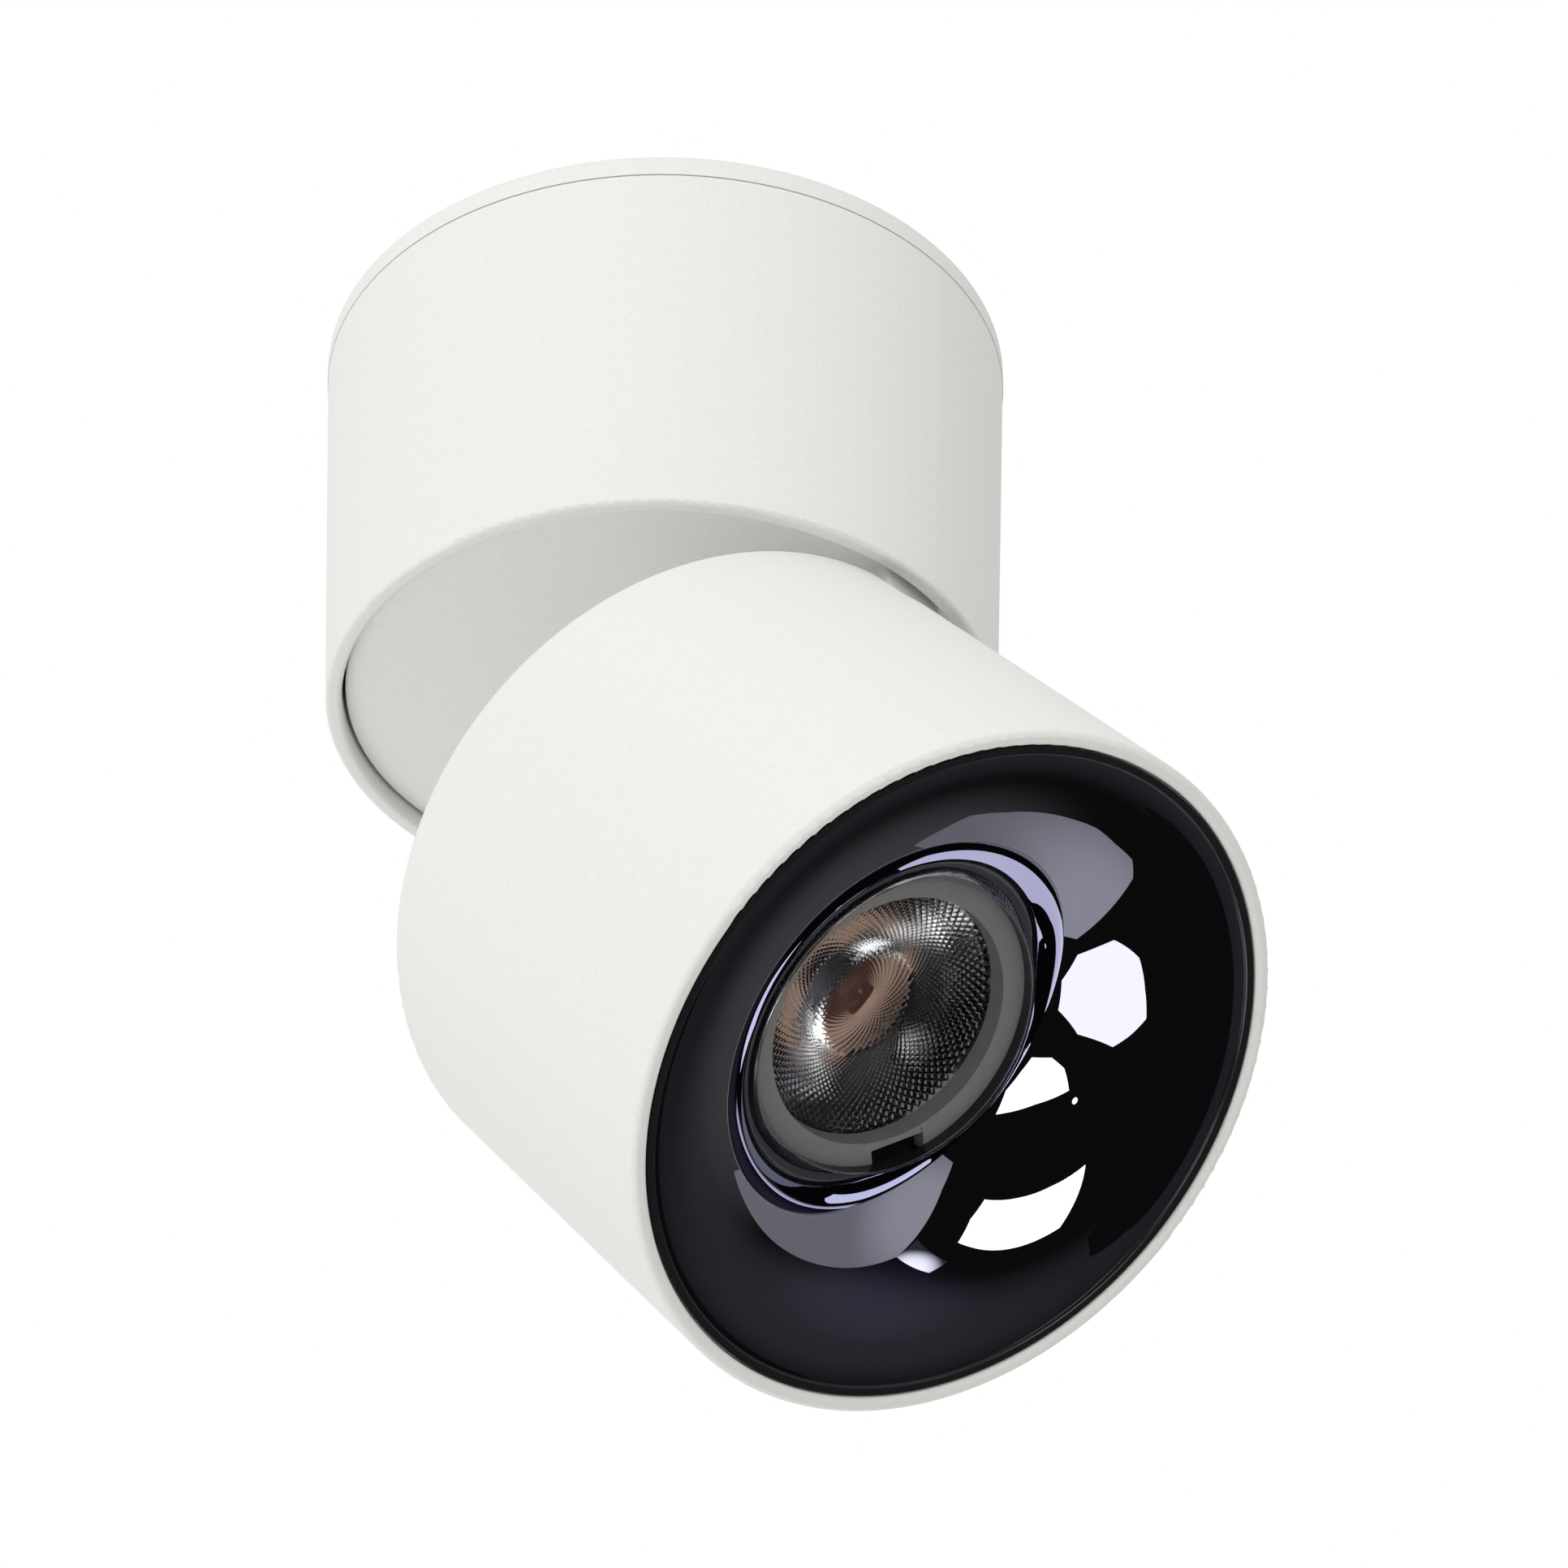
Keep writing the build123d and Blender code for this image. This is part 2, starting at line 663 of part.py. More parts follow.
# Cord clamp: a saddle bar over the supply cable, on two screws.
with BuildPart() as cord_clamp:
    clamp_section = Plane(origin=(0, clamp_y + clamp_width / 2, driver_z), x_dir=(1, 0, 0), z_dir=(0, -1, 0))
    with BuildSketch(clamp_section):
        with Locations((0, (clamp_lift + clamp_height) / 2)):
            Rectangle(clamp_length, clamp_lift + clamp_height)
        with Locations((0, 0)):
            Circle(clamp_arch, mode=Mode.SUBTRACT)
    extrude(amount=clamp_width)
    with BuildSketch(Plane.XY.offset(driver_z)):
        with Locations(*clamp_spots):
            Circle(screw_radius + loose_clearance / 2)
    extrude(amount=clamp_lift + clamp_height, mode=Mode.SUBTRACT)
    fillet(cord_clamp.edges().filter_by(Axis.Z).group_by(Axis.X)[0], clamp_round)
    fillet(cord_clamp.edges().filter_by(Axis.Z).group_by(Axis.X)[-1], clamp_round)
cord_clamp.part.label = "cord_clamp"
export_step(cord_clamp.part, "parts/cord_clamp.step")

with BuildPart() as cord_clamp_screws:
    clamp_top = Plane.XY.offset(driver_z + clamp_lift + clamp_height)
    pan_screws(clamp_top, clamp_spots, clamp_lift + clamp_height + driver_plate_thickness)
cord_clamp_screws.part.label = "cord_clamp_screws"
export_step(cord_clamp_screws.part, "parts/cord_clamp_screws.step")

# Earth point: a ring lug held to the tray by its own screw.
tail_reach = screw_head_radius + earth_lug_rim + earth_tail_length / 4
with BuildPart() as earth_lug:
    with BuildSketch(Plane.XY.offset(driver_z)):
        with Locations((earth_x, earth_y)):
            Circle(screw_head_radius + earth_lug_rim)
        with Locations((earth_x, earth_y - tail_reach)):
            Rectangle(earth_tail_width, earth_tail_length)
        with Locations((earth_x, earth_y)):
            Circle(screw_radius, mode=Mode.SUBTRACT)
    extrude(amount=earth_lug_height)
earth_lug.part.label = "earth_lug"
export_step(earth_lug.part, "parts/earth_lug.step")

with BuildPart() as earth_screw:
    earth_plane = Plane.XY.offset(driver_z + earth_lug_height)
    pan_screws(earth_plane, [(earth_x, earth_y)], earth_lug_height + driver_plate_thickness)
earth_screw.part.label = "earth_screw"
export_step(earth_screw.part, "parts/earth_screw.step")

# Supply wires from the terminal block to the driver's input end.
port_z = driver_z + terminal_port
port_y = terminal_y - terminal_width / 2
lane_y = (port_y + driver_width / 2) / 2
supply_row = driver_width / 2 - terminal_pitch
with BuildPart() as supply_wires:
    for row, drop in ((-terminal_pitch, -wire_pitch / 2), (0, wire_pitch)):
        lead(
            [
                (row, port_y + supply_entry, port_z),
                (row, lane_y, port_z),
                (row - supply_turn, lane_y, port_z + drop),
                (-driver_length / 2 - supply_side, lane_y, port_z + drop),
                (-driver_length / 2 - supply_side, supply_row - drop, port_z + drop),
                (-driver_length / 2, supply_row - drop, port_z + drop),
            ],
            supply_bend,
        )
supply_wires.part.label = "supply_wires"
export_step(supply_wires.part, "parts/supply_wires.step")

# Earth wire from the lug's tail to the terminal block.
lug_wire_z = driver_z + earth_lug_height + wire_radius
with BuildPart() as earth_wire:
    lead(
        [
            (earth_x, earth_y - tail_reach - earth_tail_length / 3, lug_wire_z),
            (earth_x, lane_y, lug_wire_z),
            (terminal_pitch, lane_y, port_z),
            (terminal_pitch, port_y + supply_entry, port_z),
        ],
        supply_bend,
    )
earth_wire.part.label = "earth_wire"
export_step(earth_wire.part, "parts/earth_wire.step")

# Output wires from the driver down through the tray into the hollow hub.
output_z = driver_z + driver_wall + board_lift
crossing_z = (nut_top_z + driver_plate_z) / 2
hub_joint_z = hub_top_z - joint_reach
with BuildPart() as output_wires:
    for row in wire_rows:
        lead(
            [
                (driver_length / 2, row, output_z),
                (output_x, row, output_z),
                (output_x, row, crossing_z),
                (0, row, crossing_z),
                (0, row, hub_joint_z),
            ],
            wire_bend,
        )
output_wires.part.label = "output_wires"
export_step(output_wires.part, "parts/output_wires.step")

# ================================================================ swivel
# Swivel disc: the white disc seen in the rim, with its boss, hollow hub,
# stop lug and the openings for the arm's screws and the wires.
disc_radius = base_rim_radius - base_wall - disc_gap
arm_inner = hinge_offset - knuckle_radius
channel_inner = arm_inner + wire_channel_wall
wire_x = channel_inner + wire_channel_depth / 2
boss_slot = boss_radius + boss_slot_run
arm_screw_spots = [(arm_screw_x, arm_screw_pitch / 2), (arm_screw_x, -arm_screw_pitch / 2)]
with BuildPart() as swivel_disc:
    with BuildSketch(Plane.XY.offset(disc_bottom_z)):
        Circle(disc_radius)
    extrude(amount=disc_thickness)
    fillet(swivel_disc.faces().sort_by(Axis.Z)[0].edges(), disc_round)
    with BuildSketch(Plane.XY.offset(disc_top_z)):
        Circle(boss_radius)
    extrude(amount=boss_height)
    with BuildSketch(Plane.XY.offset(disc_top_z)):
        Circle(hub_radius)
    extrude(amount=hub_height)
    with BuildSketch(Plane.XY.offset(disc_top_z)):
        Circle(hub_radius - hub_wall)
    extrude(amount=hub_height, mode=Mode.SUBTRACT)
    with BuildSketch(Plane.XY.offset(disc_top_z)):
        with Locations((boss_slot / 2, 0)):
            Rectangle(boss_slot, wire_pitch + 2 * wire_radius + loose_clearance * 2)
    extrude(amount=boss_height, mode=Mode.SUBTRACT)
    with BuildSketch(Plane.XY.offset(disc_top_z)):
        with Locations((stop_radius, 0)):
            Rectangle(stop_lug_depth, stop_lug_width)
    extrude(amount=stop_lug_height)
    with BuildSketch(Plane.XY.offset(disc_bottom_z)):
        with Locations((wire_x - wire_channel_wall / 2, 0)):
            Rectangle(wire_channel_depth + wire_channel_wall, wire_channel_width)
    extrude(amount=disc_thickness, mode=Mode.SUBTRACT)
    with BuildSketch(Plane.XY.offset(disc_top_z)):
        with Locations(*arm_screw_spots):
            Circle(arm_screw_head + thread_clearance)
    extrude(amount=-(arm_screw_head - arm_screw_radius), taper=45, mode=Mode.SUBTRACT)
    with BuildSketch(Plane.XY.offset(disc_top_z)):
        with Locations(*arm_screw_spots):
            Circle(arm_screw_radius + thread_clearance)
    extrude(amount=-disc_thickness, mode=Mode.SUBTRACT)
swivel_disc.part.label = "swivel_disc"
export_step(swivel_disc.part, "parts/swivel_disc.step")

# Friction washer between the boss and the bridge.
with BuildPart() as friction_washer:
    with BuildSketch(Plane.XY.offset(boss_top_z)):
        Circle(boss_radius)
        Circle(hub_radius + loose_clearance, mode=Mode.SUBTRACT)
    extrude(amount=friction_washer_height)
friction_washer.part.label = "friction_washer"
export_step(friction_washer.part, "parts/friction_washer.step")

# Disc spring above the bridge: it presses the stack together.
with BuildPart() as disc_spring:
    spring_inner = hub_radius + loose_clearance
    revolved(
        section,
        [
            (spring_radius, spring_bottom_z),
            (spring_radius, spring_bottom_z + spring_thickness),
            (spring_inner, spring_bottom_z + spring_height),
            (spring_inner, spring_bottom_z + spring_height - spring_thickness),
        ],
        Axis.Z,
    )
disc_spring.part.label = "disc_spring"
export_step(disc_spring.part, "parts/disc_spring.step")

# Slotted ring nut on the hub.
with BuildPart() as hub_nut:
    with BuildSketch(Plane.XY.offset(nut_bottom_z)):
        Circle(hub_nut_radius)
        Circle(hub_radius + thread_clearance, mode=Mode.SUBTRACT)
        with around(hub_nut_radius, hub_nut_slots):
            Rectangle(hub_nut_slot_depth * 2, hub_nut_slot, mode=Mode.SUBTRACT)
    extrude(amount=hub_nut_height)
hub_nut.part.label = "hub_nut"
export_step(hub_nut.part, "parts/hub_nut.step")

# Hinge arm: the white knuckle that leaves the disc and enters the head.
arm_section = Plane(origin=(0, arm_width / 2, 0), x_dir=(1, 0, 0), z_dir=(0, -1, 0))
with BuildPart() as hinge_arm:
    with BuildSketch(arm_section):
        with Locations((hinge_offset, hinge_z)):
            Circle(knuckle_radius)
        with Locations(((arm_inner + arm_outer) / 2, (hinge_z + disc_bottom_z) / 2)):
            Rectangle(arm_outer - arm_inner, disc_bottom_z - hinge_z)
    extrude(amount=arm_width)
    fillet(hinge_arm.edges().filter_by(Axis.Z).group_by(Axis.X)[-1], arm_round)
    with BuildSketch(arm_section):
        with Locations((hinge_offset, hinge_z)):
            Circle(hinge_pin_radius + running_clearance)
    extrude(amount=arm_width, mode=Mode.SUBTRACT)
    with BuildSketch(Plane.XY.offset(disc_bottom_z)):
        with Locations((wire_x, 0)):
            Rectangle(wire_channel_depth, wire_channel_width)
    extrude(amount=-(disc_bottom_z - hinge_z + knuckle_radius), mode=Mode.SUBTRACT)
    with BuildSketch(Plane.XY.offset(disc_bottom_z)):
        with Locations(*arm_screw_spots):
            Circle(arm_screw_radius)
    extrude(amount=-(arm_screw_length - disc_thickness + loose_clearance), mode=Mode.SUBTRACT)
hinge_arm.part.label = "hinge_arm"
export_step(hinge_arm.part, "parts/hinge_arm.step")

with BuildPart() as hinge_arm_screws:
    countersunk_screws(
        Plane.XY.offset(disc_top_z),
        arm_screw_spots,
        arm_screw_radius - thread_clearance,
        arm_screw_head,
        arm_screw_length,
    )
hinge_arm_screws.part.label = "hinge_arm_screws"
export_step(hinge_arm_screws.part, "parts/hinge_arm_screws.step")

# Swivel wires: from the hub's bore, under the washer, down the arm.
chamber_z = disc_top_z + boss_height / 2
channel_foot = hinge_z - sqrt(knuckle_radius**2 - (hinge_offset - wire_x) ** 2)
with BuildPart() as swivel_wires:
    for row in wire_rows:
        lead(
            [
                (0, row, hub_joint_z - loose_clearance),
                (0, row, chamber_z),
                (wire_x, row, chamber_z),
                (wire_x, row, channel_foot + loose_clearance),
            ],
            wire_bend,
        )
swivel_wires.part.label = "swivel_wires"
export_step(swivel_wires.part, "parts/swivel_wires.step")

# ================================================================ head
# Head shell: a drafted cup, closed at the rear, with a notch at the hinge and
# an inner step that seats the reflector.
ear_inner_y = arm_width / 2 + hinge_side_gap
ear_outer_y = ear_inner_y + bracket_thickness
notch_half = ear_outer_y + rivet_height + notch_side_gap
notch_inner = hinge_offset - knuckle_radius - loose_clearance * 2
notch_depth = hinge_depth + knuckle_radius + loose_clearance
bracket_screw_spots = [
    (bracket_screw_x, bracket_screw_pitch / 2),
    (bracket_screw_x, -bracket_screw_pitch / 2),
]
sink_screw_spots = keyed_spots(sink_screw_circle, sink_screw_count, sink_screw_start)
seat_d = head_length - seat_depth
seat_start = seat_d - seat_length
front_inner = head_front_radius - head_wall
seat_radius = head_radius(seat_d) - head_wall - seat_width
with BuildPart() as head_shell:
    with BuildSketch(head_section):
        with BuildLine():
            Polyline(
                (0, 0),
                (head_rear_radius, 0),
                (head_front_radius, head_length),
                (front_inner, head_length),
                (head_radius(seat_d) - head_wall, seat_d),
                (seat_radius, seat_d),
                (seat_radius, seat_start),
                (head_radius(seat_start) - head_wall, seat_start - seat_width),
                (head_radius(head_rear_wall) - head_wall, head_rear_wall),
                (0, head_rear_wall),
                close=True,
            )
        make_face()
    revolve(axis=head_axis)
    rear_face = head_shell.faces().filter_by(GeomType.PLANE).sort_by(head_axis)[0]
    fillet(rear_face.edges(), head_rear_round)
    front_face = head_shell.faces().filter_by(GeomType.PLANE).sort_by(head_axis)[-1]
    fillet(front_face.edges(), head_rim_round)
    with BuildSketch(head):
        with Locations(((notch_inner + head_front_radius) / 2, 0)):
            Rectangle(head_front_radius - notch_inner, notch_half * 2)
    extrude(amount=notch_depth, mode=Mode.SUBTRACT)
    with BuildSketch(head):
        with Locations(*bracket_screw_spots):
            Circle(screw_radius * 2)
        with Locations(*sink_screw_spots):
            Circle(screw_radius * 2)
    extrude(amount=screw_radius, taper=45, mode=Mode.SUBTRACT)
    with BuildSketch(head):
        with Locations(*bracket_screw_spots):
            Circle(screw_radius + thread_clearance)
        with Locations(*sink_screw_spots):
            Circle(screw_radius + thread_clearance)
    extrude(amount=head_rear_wall, mode=Mode.SUBTRACT)
head_shell.part.label = "head_shell"
export_step(head_shell.part, "parts/head_shell.step")

# Hinge bracket: pressed steel, two ears bent up from a flat foot.
foot_end = hinge_offset - rivet_radius - loose_clearance
strip_start = notch_inner - bracket_thickness
strip_end = hinge_offset + ear_round
with BuildPart() as hinge_bracket:
    with BuildSketch(across(head, head_rear_wall)):
        with Locations(((bracket_inner + foot_end) / 2, 0)):
            Rectangle(foot_end - bracket_inner, bracket_half_width * 2)
        with Locations(((notch_inner + foot_end) / 2, 0)):
            Rectangle(foot_end - notch_inner, ear_inner_y * 2, mode=Mode.SUBTRACT)
        with Locations(*bracket_screw_spots):
            Circle(screw_radius, mode=Mode.SUBTRACT)
    extrude(amount=bracket_thickness)
    bracket_trim = head_radius(head_rear_wall) - head_wall - loose_clearance
    with BuildSketch(across(head, head_rear_wall)):
        Circle(bracket_trim)
    extrude(amount=bracket_thickness * 6, mode=Mode.INTERSECT)
    for side in (-1, 1):
        ear_plane = Plane(
            origin=head.from_local_coords((0, side * ear_outer_y, 0)),
            x_dir=head_x,
            z_dir=(0, side, 0),
        )
        with BuildSketch(ear_plane):
            with Locations((hinge_offset, side * hinge_depth)):
                Circle(ear_round)
            with Locations(((strip_start + strip_end) / 2, side * (head_rear_wall + hinge_depth) / 2)):
                Rectangle(strip_end - strip_start, hinge_depth - head_rear_wall)
            with Locations((hinge_offset, side * hinge_depth)):
                Circle(hinge_pin_radius + thread_clearance, mode=Mode.SUBTRACT)
        extrude(amount=bracket_thickness)
hinge_bracket.part.label = "hinge_bracket"
export_step(hinge_bracket.part, "parts/hinge_bracket.step")

with BuildPart() as hinge_bracket_screws:
    rear_outward = Plane(origin=head_origin, x_dir=head_x, z_dir=(-head_z[0], 0, -head_z[2]))
    countersunk_screws(
        rear_outward,
        bracket_screw_spots,
        screw_radius - thread_clearance,
        screw_radius * 2 - thread_clearance,
        head_rear_wall + bracket_thickness + bracket_screw_tip,
    )
hinge_bracket_screws.part.label = "hinge_bracket_screws"
export_step(hinge_bracket_screws.part, "parts/hinge_bracket_screws.step")

# Hinge pin: riveted over both ears.
pin_half = ear_outer_y + rivet_height
with BuildPart() as hinge_pin:
    pin_section = Plane(origin=(hinge_offset, pin_half, hinge_z), x_dir=(1, 0, 0), z_dir=(0, -1, 0))
    with BuildSketch(pin_section):
        Circle(hinge_pin_radius)
    extrude(amount=pin_half * 2)
    with BuildSketch(pin_section, pin_section.offset(pin_half * 2 - rivet_height)):
        Circle(rivet_radius)
    extrude(amount=rivet_height)
    fillet(hinge_pin.faces().sort_by(Axis.Y)[0].edges(), rivet_height / 2)
    fillet(hinge_pin.faces().sort_by(Axis.Y)[-1].edges(), rivet_height / 2)
hinge_pin.part.label = "hinge_pin"
export_step(hinge_pin.part, "parts/hinge_pin.step")

# Friction washers on the pin, one on each side of the knuckle.
with BuildPart() as hinge_washers:
    washer_plane = Plane(origin=(hinge_offset, ear_inner_y, hinge_z), x_dir=(1, 0, 0), z_dir=(0, -1, 0))
    far_offset = ear_inner_y * 2 - hinge_washer_height
    with BuildSketch(washer_plane, washer_plane.offset(far_offset)):
        Circle(hinge_washer_radius)
        Circle(hinge_pin_radius + thread_clearance, mode=Mode.SUBTRACT)
    extrude(amount=hinge_washer_height)
hinge_washers.part.label = "hinge_washers"
export_step(hinge_washers.part, "parts/hinge_washers.step")

# Depth levels inside the head, measured from the rear face.
lens_front = head_length - lens_depth
lens_rear = lens_front - lens_rear_depth
cob_top = lens_rear - loose_clearance
cob_base = cob_top - cob_thickness
pad_base = cob_base - pad_thickness
sink_front = pad_base
sink_back = sink_front - sink_plate_height

# Heat sink: a core on the rear wall, radial fins and the plate for the light
# source.
wire_drop_x = (sink_fin_radius + sink_plate_radius) / 2
with BuildPart() as heat_sink:
    with BuildSketch(across(head, head_rear_wall)):
        Circle(sink_core_radius)
    extrude(amount=sink_back - head_rear_wall)
    fin_base = head_rear_wall + sink_fin_gap
    fin_run = sink_fin_radius - sink_core_radius
    with BuildSketch(across(head, fin_base)):
        with around(sink_core_radius + (fin_run - fin_root) / 2, sink_fin_count, start=180 / sink_fin_count):
            Rectangle(fin_run + fin_root, sink_fin_thickness)
    extrude(amount=sink_back - fin_base)
    with BuildSketch(across(head, sink_back)):
        Circle(sink_plate_radius)
        with Locations((wire_drop_x, 0)):
            Rectangle(wire_radius * 2 + wire_notch_gap, wire_pitch * 3, mode=Mode.SUBTRACT)
    extrude(amount=sink_plate_height)
    with BuildSketch(across(head, head_rear_wall)):
        with Locations(*sink_screw_spots):
            Circle(screw_radius)
    extrude(amount=sink_screw_length, mode=Mode.SUBTRACT)
heat_sink.part.label = "heat_sink"
export_step(heat_sink.part, "parts/heat_sink.step")

with BuildPart() as heat_sink_screws:
    countersunk_screws(
        rear_outward,
        sink_screw_spots,
        screw_radius - thread_clearance,
        screw_radius * 2 - thread_clearance,
        sink_screw_length,
    )
heat_sink_screws.part.label = "heat_sink_screws"
export_step(heat_sink_screws.part, "parts/heat_sink_screws.step")

# Thermal pad, light source board and its phosphor disc.
with BuildPart() as thermal_pad:
    with BuildSketch(across(head, pad_base)):
        Rectangle(cob_size, cob_size)
    extrude(amount=pad_thickness)
thermal_pad.part.label = "thermal_pad"
export_step(thermal_pad.part, "parts/thermal_pad.step")

with BuildPart() as cob_board:
    with BuildSketch(across(head, cob_base)):
        RectangleRounded(cob_size, cob_size, cob_corner)
    extrude(amount=cob_thickness)
cob_board.part.label = "cob_board"
export_step(cob_board.part, "parts/cob_board.step")

with BuildPart() as cob_emitter:
    with BuildSketch(across(head, cob_top)):
        Circle(emitter_radius)
    extrude(amount=emitter_height)
    fillet(cob_emitter.faces().sort_by(head_axis)[-1].edges(), emitter_height / 2)
cob_emitter.part.label = "cob_emitter"
export_step(cob_emitter.part, "parts/cob_emitter.step")

# Holder that clamps the board to the heat sink with two screws.
cob_screw_spots = [(0, cob_screw_circle), (0, -cob_screw_circle)]
with BuildPart() as cob_holder:
    with BuildSketch(across(head, sink_front)):
        Circle(cob_holder_radius)
        Rectangle(cob_size + 2 * cob_gap, cob_size + 2 * cob_gap, mode=Mode.SUBTRACT)
        with Locations(*cob_screw_spots):
            Circle(screw_radius + thread_clearance, mode=Mode.SUBTRACT)
    extrude(amount=cob_top - sink_front)
    with BuildSketch(across(head, cob_top)):
        Circle(cob_holder_radius)
        Circle(cob_holder_bore, mode=Mode.SUBTRACT)
        with Locations(*cob_screw_spots):
            Circle(screw_radius + thread_clearance, mode=Mode.SUBTRACT)
    extrude(amount=cob_holder_height)
cob_holder.part.label = "cob_holder"
export_step(cob_holder.part, "parts/cob_holder.step")

with BuildPart() as cob_holder_screws:
    screw_face = across(head, cob_top + cob_holder_height)
    pan_screws(screw_face, cob_screw_spots, cob_top + cob_holder_height - sink_front)
cob_holder_screws.part.label = "cob_holder_screws"
export_step(cob_holder_screws.part, "parts/cob_holder_screws.step")

# Lens: a moulded collimator with a flange, a sunk and dished front face, a
# tapering side and a cavity with a bulging roof over the source.
face_edge = lens_front - lens_face_depth
side_start = lens_front - lens_flange_height
cavity_top = lens_rear + lens_cavity_depth
cavity_edge = lens_cavity_radius - lens_cavity_draft


def cap_height(radius, rim, rise):
    """Height over its rim's plane of a spherical cap that stands on the head's axis."""
    sphere = (rim**2 + rise**2) / (2 * rise)
    return sqrt(sphere**2 - radius**2) - sphere + rise


dish_middle = cap_height(lens_face_radius / 2, lens_face_radius, lens_dish)
crown_middle = cap_height(cavity_edge / 2, cavity_edge, lens_cavity_crown)
with BuildPart() as lens:
    with BuildSketch(head_section):
        with BuildLine():
            Line((0, face_edge - lens_dish), (0, cavity_top - lens_cavity_crown))
            ThreePointArc(
                (0, cavity_top - lens_cavity_crown),
                (cavity_edge / 2, cavity_top - crown_middle),
                (cavity_edge, cavity_top),
            )
            Line((cavity_edge, cavity_top), (lens_cavity_radius, lens_rear))
            Line((lens_cavity_radius, lens_rear), (lens_rear_radius, lens_rear))
            ThreePointArc(
                (lens_rear_radius, lens_rear),
                ((lens_rear_radius + lens_radius) / 2, (lens_rear + side_start) / 2 - lens_side_bow),
                (lens_radius - lens_ledge, side_start),
            )
            Line((lens_radius - lens_ledge, side_start), (lens_radius, side_start))
            Line((lens_radius, side_start), (lens_radius, lens_front))
            Line((lens_radius, lens_front), (lens_face_radius + lens_wall_draft, lens_front))
            Line((lens_face_radius + lens_wall_draft, lens_front), (lens_face_radius, face_edge))
            ThreePointArc(
                (lens_face_radius, face_edge),
                (lens_face_radius / 2, face_edge - dish_middle),
                (0, face_edge - lens_dish),
            )
        make_face()
    revolve(axis=head_axis)
    with BuildSketch(across(head, side_start)):
        with around(lens_radius - key_depth / 2, 1, start=key_angle):
            Rectangle(key_depth + loose_clearance, key_width)
    extrude(amount=lens_flange_height, mode=Mode.SUBTRACT)
lens.part.label = "lens"
export_step(lens.part, "parts/lens.step")

# Lens holder: a black tube on the heat sink whose ledge carries the lens and
# whose wall stands round the reflector's neck.
holder_inner = lens_radius + lens_fit
holder_outer = holder_inner + holder_wall
holder_foot_radius = holder_outer + holder_foot_width
holder_screw_circle = holder_outer + holder_foot_width / 2
holder_top = lens_front + holder_overlap
holder_screw_spots = keyed_spots(holder_screw_circle, holder_screws, holder_screw_start)
with BuildPart() as lens_holder:
    revolved(
        head_section,
        [
            (lens_radius - holder_ledge, sink_front),
            (holder_foot_radius, sink_front),
            (holder_foot_radius, sink_front + holder_foot_height),
            (holder_outer, sink_front + holder_foot_height),
            (holder_outer, holder_top),
            (holder_inner, holder_top),
            (holder_inner, side_start),
            (lens_radius - holder_ledge, side_start),
        ],
        head_axis,
    )
    with BuildSketch(across(head, sink_front)):
        with Locations(((lens_radius + holder_foot_radius) / 2, 0)):
            Rectangle(holder_foot_radius - lens_radius + wire_notch_gap * 4, wire_pitch * 3)
    extrude(amount=wire_radius * 2 + wire_notch_gap * 2, mode=Mode.SUBTRACT)
    with BuildSketch(across(head, sink_front)):
        with Locations(*holder_screw_spots):
            Circle(screw_radius)
    extrude(amount=holder_foot_height, mode=Mode.SUBTRACT)
lens_holder.part.label = "lens_holder"
export_step(lens_holder.part, "parts/lens_holder.step")

with BuildPart() as lens_holder_screws:
    foot_face = across(head, sink_front + holder_foot_height)
    cylinders(foot_face, holder_screw_spots, screw_radius - thread_clearance, -holder_foot_height)
    cylinders(foot_face, holder_screw_spots, holder_screw_head, screw_head_height / 2)
lens_holder_screws.part.label = "lens_holder_screws"
export_step(lens_holder_screws.part, "parts/lens_holder_screws.step")

# Reflector: a metallised bell whose lip sits in the shell's front step.  Its
# arc leaves the lip square to the beam, and rolls into a neck that stands in
# the holder and ends on the lens flange.
lip_outer = front_inner - lip_gap
lip_inner = lip_outer - lip_width
lip_front = head_length - lip_recess
bell_r = lip_inner - lip_round
bell_front = head_length - bowl_start_depth
neck_end = lens_front + seat_gap
neck_outer = holder_inner - loose_clearance
neck_radius = neck_outer - neck_wall
neck_top = neck_end + neck_land
roll_width = bell_r - neck_radius - neck_round
roll_drop = bell_front - neck_top
bell_radius = (roll_width**2 + roll_drop**2 - neck_round**2) / (2 * (roll_drop - neck_round))
bell_axis_d = bell_front - bell_radius
bell_turn = asin(roll_width / (bell_radius - neck_round))
roll_turn = (bell_turn + radians(90)) / 2
clip_start = seat_start - clip_tip
clip_end = bell_front - reflector_wall / 2
clip_outer = seat_radius - loose_clearance


def on_bell(radius, turn):
    """A point of the arc about the bell's centre, turned inwards from the lip."""
    return (bell_r - radius * sin(turn), bell_axis_d + radius * cos(turn))


def on_roll(turn):
    """A point of the small arc between the bell and the neck."""
    return (neck_radius + neck_round - neck_round * sin(turn), neck_top + neck_round * cos(turn))


